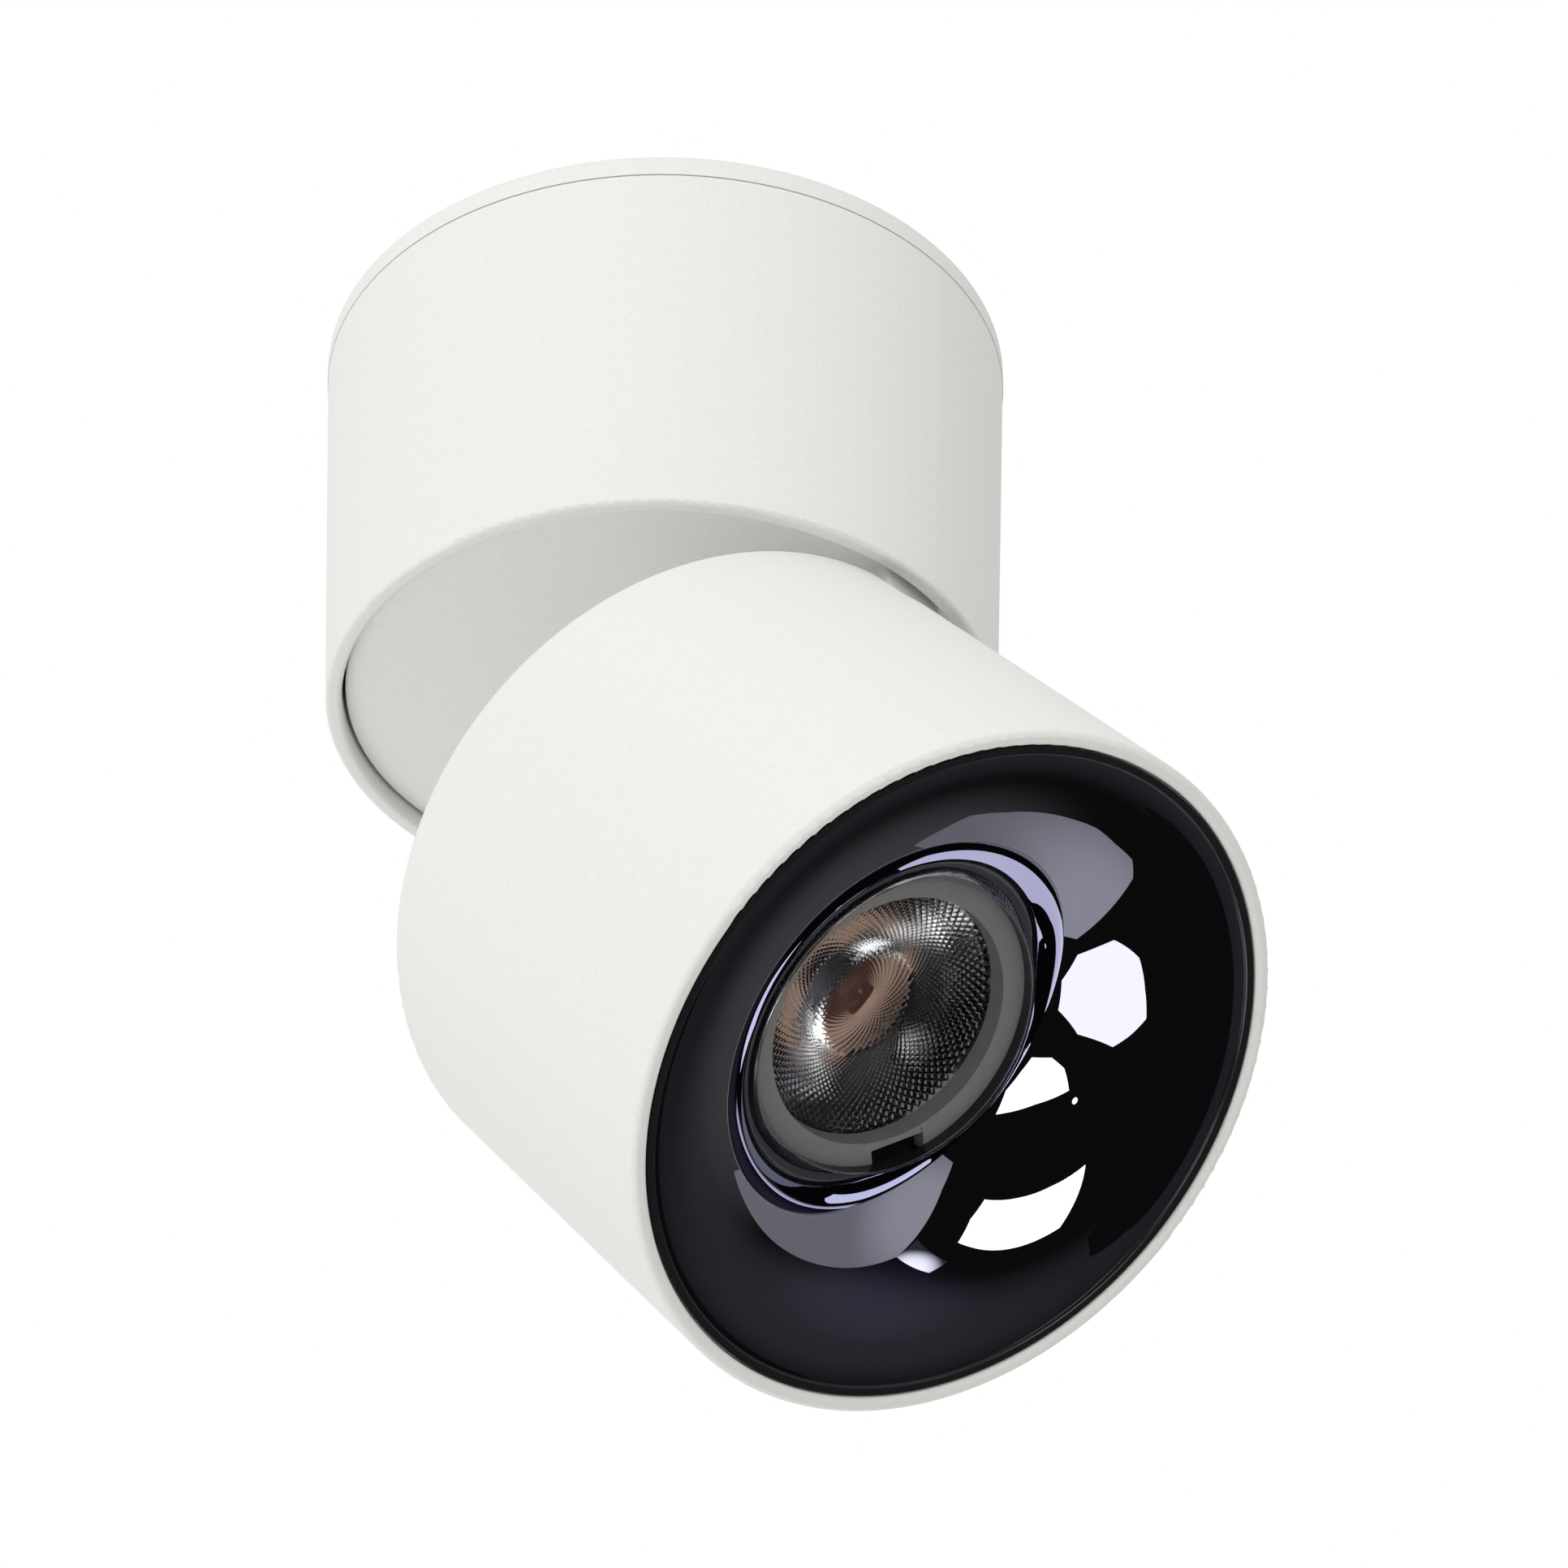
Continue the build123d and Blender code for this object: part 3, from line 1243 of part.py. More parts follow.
bell_back = bell_radius - reflector_wall
lip_share = lip_round * sin(radians(45))    # of the rounded inner edge, at its middle
back_start = asin((bell_r - clip_outer) / bell_back)
back_end = asin((bell_r - neck_outer) / bell_back)
with BuildPart() as reflector:
    with BuildSketch(head_section):
        with BuildLine():
            Line((lip_outer, seat_d), (lip_outer, lip_front))
            Line((lip_outer, lip_front), (lip_inner, lip_front))
            ThreePointArc(
                (lip_inner, lip_front),
                (lip_inner - lip_share, lip_front - lip_round + lip_share),
                (bell_r, bell_front),
            )
            ThreePointArc(
                (bell_r, bell_front),
                on_bell(bell_radius, bell_turn / 2),
                on_bell(bell_radius, bell_turn),
            )
            ThreePointArc(on_bell(bell_radius, bell_turn), on_roll(roll_turn), (neck_radius, neck_top))
            Line((neck_radius, neck_top), (neck_radius, neck_end))
            Line((neck_radius, neck_end), (neck_outer, neck_end))
            Line((neck_outer, neck_end), on_bell(bell_back, back_end))
            ThreePointArc(
                on_bell(bell_back, back_end),
                on_bell(bell_back, (back_start + back_end) / 2),
                on_bell(bell_back, back_start),
            )
            Line(on_bell(bell_back, back_start), (clip_outer, seat_d))
            Line((clip_outer, seat_d), (lip_outer, seat_d))
        make_face()
    revolve(axis=head_axis)
    hook_plane = across(head, clip_start)
    with BuildSketch(hook_plane):
        with around(clip_outer - reflector_wall / 2, clip_count):
            Rectangle(reflector_wall, clip_width)
    extrude(amount=clip_end - clip_start)
    with BuildSketch(hook_plane):
        with around(clip_outer, clip_count):
            Rectangle(clip_hook * 2, clip_width)
    extrude(amount=clip_nose)
reflector.part.label = "reflector"
export_step(reflector.part, "parts/reflector.step")

# Head wires: from beside the knuckle, up past the fins and through the plate
# to the light source.
start_r = knuckle_radius + wire_radius + loose_clearance
wire_turn = radians(wire_enter_angle)
wire_enter = (hinge_offset - start_r * cos(wire_turn), hinge_depth + start_r * sin(wire_turn))
wire_top = sink_front + wire_radius + wire_notch_gap
with BuildPart() as head_wires:
    for row in wire_rows:
        route = [
            (wire_enter[0], row, wire_enter[1]),
            (wire_drop_x, row, wire_enter[1] + wire_radius),
            (wire_drop_x, row, wire_top),
            (cob_holder_radius, row, wire_top),
        ]
        lead([head.from_local_coords(point) for point in route], wire_bend)
head_wires.part.label = "head_wires"
export_step(head_wires.part, "parts/head_wires.step")
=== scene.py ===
import json
from math import asin, atan2, cos, pi, radians, sin, sqrt

import bmesh
import bpy
from mathutils import Matrix, Vector


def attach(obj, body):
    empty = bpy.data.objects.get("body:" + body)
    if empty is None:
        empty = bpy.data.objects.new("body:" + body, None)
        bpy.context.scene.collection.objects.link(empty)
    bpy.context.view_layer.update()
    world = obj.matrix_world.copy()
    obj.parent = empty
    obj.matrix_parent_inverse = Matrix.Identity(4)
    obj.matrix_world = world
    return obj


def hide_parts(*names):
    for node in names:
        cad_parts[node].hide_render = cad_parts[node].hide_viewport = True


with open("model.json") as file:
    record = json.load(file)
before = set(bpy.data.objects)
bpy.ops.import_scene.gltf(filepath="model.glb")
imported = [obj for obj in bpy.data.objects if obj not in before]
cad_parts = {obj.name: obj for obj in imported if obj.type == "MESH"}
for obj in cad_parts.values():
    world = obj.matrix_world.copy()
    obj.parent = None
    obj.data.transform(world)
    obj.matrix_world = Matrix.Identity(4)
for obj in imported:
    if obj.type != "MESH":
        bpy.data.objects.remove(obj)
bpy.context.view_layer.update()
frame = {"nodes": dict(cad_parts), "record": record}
nodes = frame["nodes"]
MM = 0.001

# ------------------------------------------------------------------ head frame
# The head's own axes: the origin is the centre of its front plane, x points to
# the hinge side, y across it and depth runs back along the axis.
TILT = radians(39.8)
HINGE_R = 42.5                  # from the axis of either drum
HINGE_DEPTH = 5.2               # from the head's rear plane towards its front
HINGE = Vector((HINGE_R, 0, -68.8))
HEAD_X = Vector((cos(TILT), 0, sin(TILT)))
HEAD_Z = Vector((sin(TILT), 0, -cos(TILT)))
HEAD_Y = HEAD_Z.cross(HEAD_X)
HEAD_LENGTH = 68.9
REAR = HINGE - HEAD_X * HINGE_R - HEAD_Z * HINGE_DEPTH
FRONT = REAR + HEAD_Z * HEAD_LENGTH


def head_point(x, y, t):
    """A point of the head in mm, t behind its front plane, as metres in the row frame."""
    return (FRONT + HEAD_X * x + HEAD_Y * y - HEAD_Z * t) * MM


def to_head(point):
    """Row frame metres to the head's x, y, t in mm."""
    d = point / MM - FRONT
    return d.dot(HEAD_X), d.dot(HEAD_Y), -d.dot(HEAD_Z)


def head_rt(point):
    """Row frame metres to radius and depth in the head."""
    x, y, t = to_head(Vector(point))
    return sqrt(x * x + y * y), t


# ------------------------------------------------------------------ mesh helpers
def mesh_object(name, verts, faces, smooth=True):
    data = bpy.data.meshes.new(name)
    data.from_pydata([tuple(v) for v in verts], [], faces)
    data.validate()
    data.update()
    obj = bpy.data.objects.new(name, data)
    bpy.context.scene.collection.objects.link(obj)
    for polygon in data.polygons:
        polygon.use_smooth = smooth
    return obj


def sharpen(obj, degrees):
    """Marks edges sharper than the angle, so that smooth shading stops there."""
    bm = bmesh.new()
    bm.from_mesh(obj.data)
    bmesh.ops.recalc_face_normals(bm, faces=bm.faces)
    for edge in bm.edges:
        if len(edge.link_faces) == 2:
            edge.smooth = edge.calc_face_angle(0.0) < radians(degrees)
    bm.to_mesh(obj.data)
    bm.free()
    return obj


# ------------------------------------------------------------------ materials
GRAIN_DETAIL = 4.0
GRAIN_ROUGHNESS = 0.6
MOTTLE_DARK = 0.3               # grain value where the colour is darkest
MOTTLE_FULL = 0.7


def material(name, color, rough=0.5, metal=0.0, spec=0.5, bump=None, transmission=0.0, ior=1.5, painted_glow=0.0):
    """A surface; bump is its grain's scale, its height in metres and how far it darkens."""
    mat = bpy.data.materials.new(name)
    mat.use_nodes = True
    tree = mat.node_tree
    bsdf = next(n for n in tree.nodes if n.type == "BSDF_PRINCIPLED")
    bsdf.inputs["Base Color"].default_value = (*color, 1)
    bsdf.inputs["Roughness"].default_value = rough
    bsdf.inputs["Metallic"].default_value = metal
    bsdf.inputs["Specular IOR Level"].default_value = spec
    bsdf.inputs["Transmission Weight"].default_value = transmission
    bsdf.inputs["IOR"].default_value = ior
    # painted light: an emission in the surface's own colour, for parts that look lit though no lamp is on
    if painted_glow:
        bsdf.inputs["Emission Color"].default_value = (*color, 1)
        bsdf.inputs["Emission Strength"].default_value = painted_glow
    if bump:
        scale, height, mottle = bump
        coords = tree.nodes.new("ShaderNodeTexCoord")
        grain = tree.nodes.new("ShaderNodeTexNoise")
        grain.inputs["Scale"].default_value = scale
        grain.inputs["Detail"].default_value = GRAIN_DETAIL
        grain.inputs["Roughness"].default_value = GRAIN_ROUGHNESS
        bumper = tree.nodes.new("ShaderNodeBump")
        bumper.inputs["Strength"].default_value = 1.0
        bumper.inputs["Distance"].default_value = height
        tree.links.new(coords.outputs["Object"], grain.inputs["Vector"])
        tree.links.new(grain.outputs["Fac"], bumper.inputs["Height"])
        tree.links.new(bumper.outputs["Normal"], bsdf.inputs["Normal"])
        ramp = tree.nodes.new("ShaderNodeValToRGB")
        ramp.color_ramp.elements[0].position = MOTTLE_DARK
        ramp.color_ramp.elements[1].position = MOTTLE_FULL
        dark = tuple(c * (1 - mottle) for c in color)
        ramp.color_ramp.elements[0].color = (*dark, 1)
        ramp.color_ramp.elements[1].color = (*color, 1)
        tree.links.new(grain.outputs["Fac"], ramp.inputs["Fac"])
        tree.links.new(ramp.outputs["Color"], bsdf.inputs["Base Color"])
    return mat


POWDER = material("powder_white", (0.80, 0.795, 0.775), rough=0.55, spec=0.4, bump=(1700, 0.00003, 0.05))
STEEL = material("zinc_steel", (0.60, 0.61, 0.62), rough=0.34, metal=1.0, bump=(900, 0.00001, 0.06))
SCREW = material("screw_steel", (0.66, 0.66, 0.67), rough=0.28, metal=1.0, bump=(1200, 0.000005, 0.05))
BRASS = material("brass", (0.72, 0.55, 0.26), rough=0.3, metal=1.0, bump=(900, 0.00001, 0.05))
NYLON = material("nylon", (0.78, 0.77, 0.71), rough=0.5, bump=(800, 0.00001, 0.03))
RUBBER = material("rubber", (0.025, 0.025, 0.026), rough=0.7, bump=(1200, 0.00002, 0.1))
WHITE_PLASTIC = material("white_plastic", (0.76, 0.76, 0.75), rough=0.42, bump=(1500, 0.00001, 0.03))
CREAM_PLASTIC = material("cream_plastic", (0.70, 0.68, 0.60), rough=0.4, bump=(1500, 0.00001, 0.03))
DARK_PLASTIC = material("dark_plastic", (0.03, 0.03, 0.034), rough=0.4, bump=(900, 0.00001, 0.1))
GREEN_BOARD = material("green_board", (0.02, 0.14, 0.05), rough=0.35, bump=(700, 0.00001, 0.15))
WIRE = material("wire_red", (0.55, 0.03, 0.025), rough=0.4, bump=(900, 0.00001, 0.05))
CAST = material("cast_aluminium", (0.62, 0.63, 0.64), rough=0.45, metal=1.0, bump=(800, 0.00003, 0.08))
PAD = material("thermal_pad", (0.18, 0.19, 0.20), rough=0.8, bump=(900, 0.00002, 0.1))
# painted light: the ceramic board is given a phosphor peach and a glow, standing in for the lit side of
# the phosphor seen through the lens
CERAMIC_PAINTED_GLOW = material("ceramic_white", (0.70, 0.47, 0.35), rough=0.4, bump=(900, 0.00001, 0.02), painted_glow=0.26)
# painted shade and light: the phosphor is darkened to red-brown for the shade over it, and glows faintly
# for the light the lens gathers onto it; the source is not lit
PHOSPHOR_PAINTED_SHADE_AND_GLOW = material("phosphor", (0.20, 0.07, 0.045), rough=0.6, bump=(1500, 0.00003, 0.12), painted_glow=0.06)
HOLDER = material("holder_black", (0.012, 0.012, 0.014), rough=0.22, bump=(500, 0.00001, 0.1))
MIRROR = material("black_mirror", (0.40, 0.40, 0.50), rough=0.012, metal=1.0)
LENS = material("lens_clear", (0.96, 0.97, 0.98), rough=0.085, transmission=1.0, ior=1.49)
FROST = material("lens_frost", (0.22, 0.225, 0.22), rough=0.5, bump=(900, 0.00002, 0.08))

PAINT = {
    "white_coat": POWDER,
    "grommet_rubber": RUBBER,
    "zinc_steel": STEEL,
    "screw_steel": SCREW,
    "brass_lug": BRASS,
    "bearing_nylon": NYLON,
    "driver_plastic": WHITE_PLASTIC,
    "board_green": GREEN_BOARD,
    "transformer_dark": DARK_PLASTIC,
    "terminal_plastic": CREAM_PLASTIC,
    "wire_jacket": WIRE,
    "sink_aluminium": CAST,
    "pad_grey": PAD,
    "board_ceramic": CERAMIC_PAINTED_GLOW,
    "phosphor": PHOSPHOR_PAINTED_SHADE_AND_GLOW,
    # painted shade: the white holder gets dark plastic, standing in for the shade round the source
    "holder_white": DARK_PLASTIC,    # nothing white shows round the source
    "lens_clear": LENS,
    "holder_black": HOLDER,
    "black_mirror": MIRROR,
}
for entry in frame["record"]["subparts"]:
    obj = nodes[entry["node"]]
    obj.data.materials.clear()
    obj.data.materials.append(PAINT[entry["material_slot"]])

# ------------------------------------------------------------------ reflector
# The bell in place of the CAD one: the same profile at a mesh fine enough for
# clean reflections.  Sizes are radius and depth behind the head's front plane.
LIP_OUTER = 47.55
LIP_WIDTH = 0.75
LIP_T = 0.45
LIP_ROUND = 0.5
SEAT_T = 1.75
BELL_T = 0.95
BELL_R = LIP_OUTER - LIP_WIDTH - LIP_ROUND
BELL_WALL = 1.2
NECK_R = 21.65
NECK_WALL = 0.9
NECK_ROUND = 1.4
NECK_T = 15.95
NECK_END_T = 17.75
CLIP_R = 45.4
CLIP_T = (1.55, 11.85)
CLIP_NOSE = 1.4
CLIP_HOOK = 0.8
CLIP_HALF = 4.0
CLIP_COUNT = 3
CREASE = 30                     # degrees from which an edge stays sharp
TURNS = 256
LIP_STEPS = 8
BELL_STEPS = 72
ROLL_STEPS = 10
BACK_STEPS = 40
ON_LAND = 0.05                  # faces this near the neck's radius are its land

roll_width = BELL_R - NECK_R - NECK_ROUND
roll_drop = NECK_T - BELL_T
BELL_RADIUS = (roll_width**2 + roll_drop**2 - NECK_ROUND**2) / (2 * (roll_drop - NECK_ROUND))
BELL_TURN = asin(roll_width / (BELL_RADIUS - NECK_ROUND))


def arc(cx, ct, radius, start, end, steps):
    """Profile points on a circle, angles from the outward radius towards the rear."""
    turns = [start + (end - start) * k / steps for k in range(steps + 1)]
    return [(cx + radius * cos(a), ct + radius * sin(a)) for a in turns]


def spin(profile, count=TURNS):
    """A closed profile turned about the head's axis: its points and faces."""
    size = len(profile)
    points = []
    for k in range(count):
        a = 2 * pi * k / count
        points += [(r * cos(a), r * sin(a), t) for r, t in profile]
    faces = []
    for k in range(count):
        here, there = k * size, (k + 1) % count * size
        for j in range(size):
            n = (j + 1) % size
            faces.append((here + j, here + n, there + n, there + j))
    return points, faces


def slab(r0, r1, half, t0, t1, angle):
    """A block on the head: radial span, half width, depth span, turned to the angle."""
    flat = [(r, w, t) for t in (t0, t1) for r, w in ((r0, -half), (r1, -half), (r1, half), (r0, half))]
    c, s = cos(angle), sin(angle)
    points = [(r * c - w * s, r * s + w * c, t) for r, w, t in flat]
    sides = [(k, (k + 1) % 4, 4 + (k + 1) % 4, 4 + k) for k in range(4)]
    return points, [(3, 2, 1, 0), (4, 5, 6, 7)] + sides


def joined(*shells):
    """Several shells as one list of points and faces."""
    points, faces = [], []
    for p, f in shells:
        faces += [tuple(i + len(points) for i in face) for face in f]
        points += p
    return points, faces


back_radius = BELL_RADIUS - BELL_WALL
bell_mid_t = BELL_T + BELL_RADIUS
back_start = asin((BELL_R - CLIP_R) / back_radius)
back_end = asin((BELL_R - NECK_R - NECK_WALL) / back_radius)
quarter = pi / 2
bell_profile = [(LIP_OUTER, SEAT_T), (LIP_OUTER, LIP_T)]
bell_profile += arc(LIP_OUTER - LIP_WIDTH, BELL_T, LIP_ROUND, -quarter, -pi, LIP_STEPS)
bell_profile += arc(BELL_R, bell_mid_t, BELL_RADIUS, -quarter, -quarter - BELL_TURN, BELL_STEPS)[1:]
bell_profile += arc(NECK_R + NECK_ROUND, NECK_T, NECK_ROUND, -quarter - BELL_TURN, -pi, ROLL_STEPS)[1:]
bell_profile += [(NECK_R, NECK_END_T), (NECK_R + NECK_WALL, NECK_END_T)]
bell_profile += arc(
    BELL_R, bell_mid_t, back_radius, -quarter - back_end, -quarter - back_start, BACK_STEPS
)
bell_profile += [(CLIP_R, SEAT_T)]
clips = []
nose_t = (CLIP_T[1] - CLIP_NOSE, CLIP_T[1])
for step in range(CLIP_COUNT):
    angle = 2 * pi * step / CLIP_COUNT
    clips.append(slab(CLIP_R - BELL_WALL, CLIP_R, CLIP_HALF, *CLIP_T, angle))
    clips.append(slab(CLIP_R - CLIP_HOOK, CLIP_R + CLIP_HOOK, CLIP_HALF, *nose_t, angle))
points, faces = joined(spin(bell_profile), *clips)
bell = sharpen(mesh_object("reflector_bell", [head_point(*p) for p in points], faces), CREASE)
bell.data.materials.append(MIRROR)
bell.data.materials.append(HOLDER)
for polygon in bell.data.polygons:    # the neck's land and the lip are not mirrored
    radius, depth = head_rt(polygon.center)
    on_land = abs(radius - NECK_R) < ON_LAND and depth > NECK_T
    if on_land or radius > BELL_R:
        polygon.material_index = 1
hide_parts("reflector")
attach(bell, "head")

# ------------------------------------------------------------------ lens
# A clear collimator in place of the CAD one: its dished face carries a lattice
# of pillow facets between two families of spirals, which CAD leaves plain, and
# the roof of the cavity over the source is a little wider and bulges more.
FLANGE_T = (17.8, 20.3)
FLANGE_R = 22.8
FACE_R = 18.1
FACE_RIM_R = 18.3
FACE_T = 20.6
DISH = 4.5
SIDE_R = 21.0
SIDE_BOW = 0.3
REAR_T = 35.5
REAR_R = 10.2
CAVITY_R = 9.4
CAVITY_TOP_R = 9.1
CAVITY_TOP_T = 28.3
CAVITY_CROWN = 3.3
CAVITY_CONE = 2.8               # added to the crown, straight from rim to middle
KEY_ANGLE = radians(230.6)
KEY_FLOOR = 19.2
KEY_HALF = 4.15
KEY_SPREAD = radians(13)        # flange left clear of the key's corners
FACETS_ROUND = 84
FACET_ZONES = ((FACETS_ROUND, 44), (FACETS_ROUND // 2, 34))    # facets round, lattice steps inwards
FACET_BULGE = 0.22              # of a facet's width
HAIRLINE = 0.04
LENS_CREASE = 40
SIDE_STEPS = 24
CROWN_STEPS = 16
FLANGE_STEPS = 240


def cap(radius, rim, rise):
    """Height over its rim's plane of a spherical cap on the axis."""
    sphere = (rim * rim + rise * rise) / (2 * rise)
    return sqrt(sphere * sphere - radius * radius) - sphere + rise


def facet_face():
    """The dished face: points, faces and the points where four facets meet."""
    points, faces, corners = [], [], set()

    def place(radius, facets, step, flat):
        """One ring of lattice points, as their numbers."""
        ring = []
        for k in range(2 * facets):
            spiral = 2 * k + step % 2
            up, down = (step + spiral) // 2 % 2, (step - spiral) // 2 % 2
            if not up and not down:
                corners.add(len(points))
            bulge = FACET_BULGE * 2 * pi * radius / facets if up and down and not flat else 0
            a = pi * spiral / (2 * facets)
            ring.append(len(points))
            points.append((radius * cos(a), radius * sin(a), FACE_T + cap(radius, FACE_R, DISH) - bulge))
        return ring

    radius = FACE_R
    edge = place(radius, FACETS_ROUND, 0, True)
    for facets, steps in FACET_ZONES:
        count = 2 * facets
        if len(edge) > count:
            for k in range(0, len(edge), 2):
                faces.append((edge[k], edge[k + 1], edge[(k + 2) % len(edge)]))
            edge = edge[::2]
        rings = [edge]
        for step in range(1, steps + 1):
            radius *= sqrt(1 / (1 + pi / facets))
            rings.append(place(radius, facets, step, step == steps))
        for k in range(count):
            n = (k + 1) % count
            faces.append((rings[0][k], rings[1][k], rings[0][n]))
            faces.append((rings[-1][k], rings[-1][n], rings[-2][k]))
        for j, (front, between, back) in enumerate(zip(rings, rings[1:], rings[2:])):
            side = j % 2
            for k in range(count):
                low, high = between[(k - 1 + side) % count], between[(k + side) % count]
                faces.append((front[k], low, back[k], high))
        edge = rings[-1]
    hub = len(points)
    points.append((0, 0, FACE_T + DISH))
    for k, number in enumerate(edge):
        faces.append((number, edge[(k + 1) % len(edge)], hub))
    return points, faces, corners


def optic():
    """The clear body: facet face, shoulder, side, rear ring and cavity as one closed shell."""
    points, faces, corners = facet_face()
    count = 2 * FACETS_ROUND
    profile = [(FACE_RIM_R, FLANGE_T[1] + HAIRLINE), (SIDE_R - HAIRLINE, FLANGE_T[1] + HAIRLINE)]
    for k in range(1, SIDE_STEPS):
        s = k / SIDE_STEPS
        bow = SIDE_BOW * 4 * s * (1 - s)
        profile.append((SIDE_R + (REAR_R - SIDE_R) * s, FLANGE_T[1] + (REAR_T - FLANGE_T[1]) * s + bow))
    profile += [(REAR_R, REAR_T), (CAVITY_R, REAR_T), (CAVITY_TOP_R, CAVITY_TOP_T)]
    for k in range(1, CROWN_STEPS):
        s = k / CROWN_STEPS
        r = CAVITY_TOP_R * (1 - s)
        profile.append((r, CAVITY_TOP_T + cap(r, CAVITY_TOP_R, CAVITY_CROWN) + CAVITY_CONE * s))
    start = len(points)
    for r, t in profile:
        points += [(r * cos(2 * pi * k / count), r * sin(2 * pi * k / count), t) for k in range(count)]
    rings = [0] + [start + j * count for j in range(len(profile))]
    for a, b in zip(rings, rings[1:]):
        for k in range(count):
            n = (k + 1) % count
            faces.append((a + k, a + n, b + n, b + k))
    pole = len(points)
    points.append((0, 0, CAVITY_TOP_T + CAVITY_CROWN + CAVITY_CONE))
    for k in range(count):
        faces.append((rings[-1] + k, rings[-1] + (k + 1) % count, pole))
    return points, faces, corners


def flange():
    """The frosted ring with its key notch."""
    clear = asin(KEY_HALF / FLANGE_R)
    outer = []
    inner = []
    for k in range(FLANGE_STEPS + 1):
        share = k / FLANGE_STEPS
        a = clear + (2 * pi - 2 * clear) * share
        outer.append((FLANGE_R * cos(a), FLANGE_R * sin(a)))
        inner.append(KEY_SPREAD + (2 * pi - 2 * KEY_SPREAD) * share)
    for w in (-1, -0.5, 0, 0.5, 1):
        outer.append((KEY_FLOOR, KEY_HALF * w))
        inner.append(atan2(KEY_HALF * w, KEY_FLOOR))
    c, s = cos(KEY_ANGLE), sin(KEY_ANGLE)
    rim = [(x * c - y * s, x * s + y * c) for x, y in outer]
    bore = [(cos(a + KEY_ANGLE), sin(a + KEY_ANGLE)) for a in inner]
    size = len(rim)
    points = [(x, y, t) for t in FLANGE_T for x, y in rim]
    for r, t in ((FACE_RIM_R, FLANGE_T[0]), (FACE_R, FACE_T), (FACE_RIM_R, FLANGE_T[1])):
        points += [(x * r, y * r, t) for x, y in bore]
    faces = []
    loops = (0, 2, 3, 4, 1)     # front rim, front bore, face edge, rear bore, rear rim
    for a, b in zip(loops, loops[1:] + loops[:1]):
        for k in range(size):
            n = (k + 1) % size
            faces.append((a * size + k, a * size + n, b * size + n, b * size + k))
    return points, faces


def build_lens():
    """The clear body and the frosted flange as one piece of two materials."""
    clear_points, clear_faces, corners = optic()
    ring_points, ring_faces = flange()
    points, faces = joined((clear_points, clear_faces), (ring_points, ring_faces))
    obj = sharpen(mesh_object("lens_faceted", [head_point(*p) for p in points], faces), LENS_CREASE)
    for edge in obj.data.edges:
        if edge.vertices[0] in corners or edge.vertices[1] in corners:
            edge.use_edge_sharp = True
    obj.data.materials.append(LENS)
    obj.data.materials.append(FROST)
    for polygon in obj.data.polygons:
        if polygon.vertices[0] >= len(clear_points):
            polygon.material_index = 1
    return obj


lens = build_lens()
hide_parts("lens")
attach(lens, "head")

# ------------------------------------------------------------------ camera
# It looks up at the base; its shifts are in mm from the middle of the base's rim.
AZIMUTH = radians(36.35)
LOOK_UP = radians(36.219)
SENSOR = 36.0
FOCAL = 169.73
CAMERA_AWAY = 1056.0
CAMERA_RIGHT = 17.464
CAMERA_DOWN = 10.377
RIM_Z = -61.7
right = Vector((cos(AZIMUTH), sin(AZIMUTH), 0))
ahead = Vector((-sin(AZIMUTH), cos(AZIMUTH), 0))
view_dir = ahead * cos(LOOK_UP) + Vector((0, 0, sin(LOOK_UP)))
view_up = -ahead * sin(LOOK_UP) + Vector((0, 0, cos(LOOK_UP)))
rim_centre = Vector((0, 0, RIM_Z))
eye = (rim_centre - view_dir * CAMERA_AWAY + right * CAMERA_RIGHT - view_up * CAMERA_DOWN) * MM
camera_data = bpy.data.cameras.new("photo_camera")
camera_data.sensor_width = SENSOR
camera_data.lens = FOCAL
camera = bpy.data.objects.new("photo_camera", camera_data)
turn = Matrix((right, view_up, -view_dir)).transposed().to_4x4()
camera.matrix_world = Matrix.Translation(eye) @ turn
bpy.context.scene.collection.objects.link(camera)
bpy.context.scene.camera = camera

# ------------------------------------------------------------------ light
# The world is white to the camera, to mirrors and through glass, and a little
# dimmer and warmer as light on the object.
SOFT_COLOR = (1.0, 0.99, 0.97, 1)
SOFT_STRENGTH = 0.80
MIDDLE = Vector((0.01, 0, -0.08))
# Name, way from the object (to the right, away from the camera, up), size, power.
LIGHTS = [
    ("key_left", (-0.4, -1.15, 0.25), 0.8, 6.0),
    ("fill_low", (-0.7, 0.5, -0.8), 0.6, 3.5),
]

world = bpy.data.worlds.new("studio")
bpy.context.scene.world = world
world.use_nodes = True
wt = world.node_tree
wt.nodes.clear()
out = wt.nodes.new("ShaderNodeOutputWorld")
path = wt.nodes.new("ShaderNodeLightPath")
white = wt.nodes.new("ShaderNodeBackground")
white.inputs["Color"].default_value = (1, 1, 1, 1)
white.inputs["Strength"].default_value = 1.0
soft = wt.nodes.new("ShaderNodeBackground")
soft.inputs["Color"].default_value = SOFT_COLOR
soft.inputs["Strength"].default_value = SOFT_STRENGTH
sees_white = path.outputs["Is Camera Ray"]
for ray in ("Is Glossy Ray", "Is Transmission Ray"):
    either = wt.nodes.new("ShaderNodeMath")
    either.operation = "MAXIMUM"
    wt.links.new(sees_white, either.inputs[0])
    wt.links.new(path.outputs[ray], either.inputs[1])
    sees_white = either.outputs["Value"]
world_mix = wt.nodes.new("ShaderNodeMixShader")
wt.links.new(sees_white, world_mix.inputs["Fac"])
wt.links.new(soft.outputs["Background"], world_mix.inputs[1])
wt.links.new(white.outputs["Background"], world_mix.inputs[2])
wt.links.new(world_mix.outputs["Shader"], out.inputs["Surface"])

bpy.context.scene.view_settings.view_transform = "Standard"


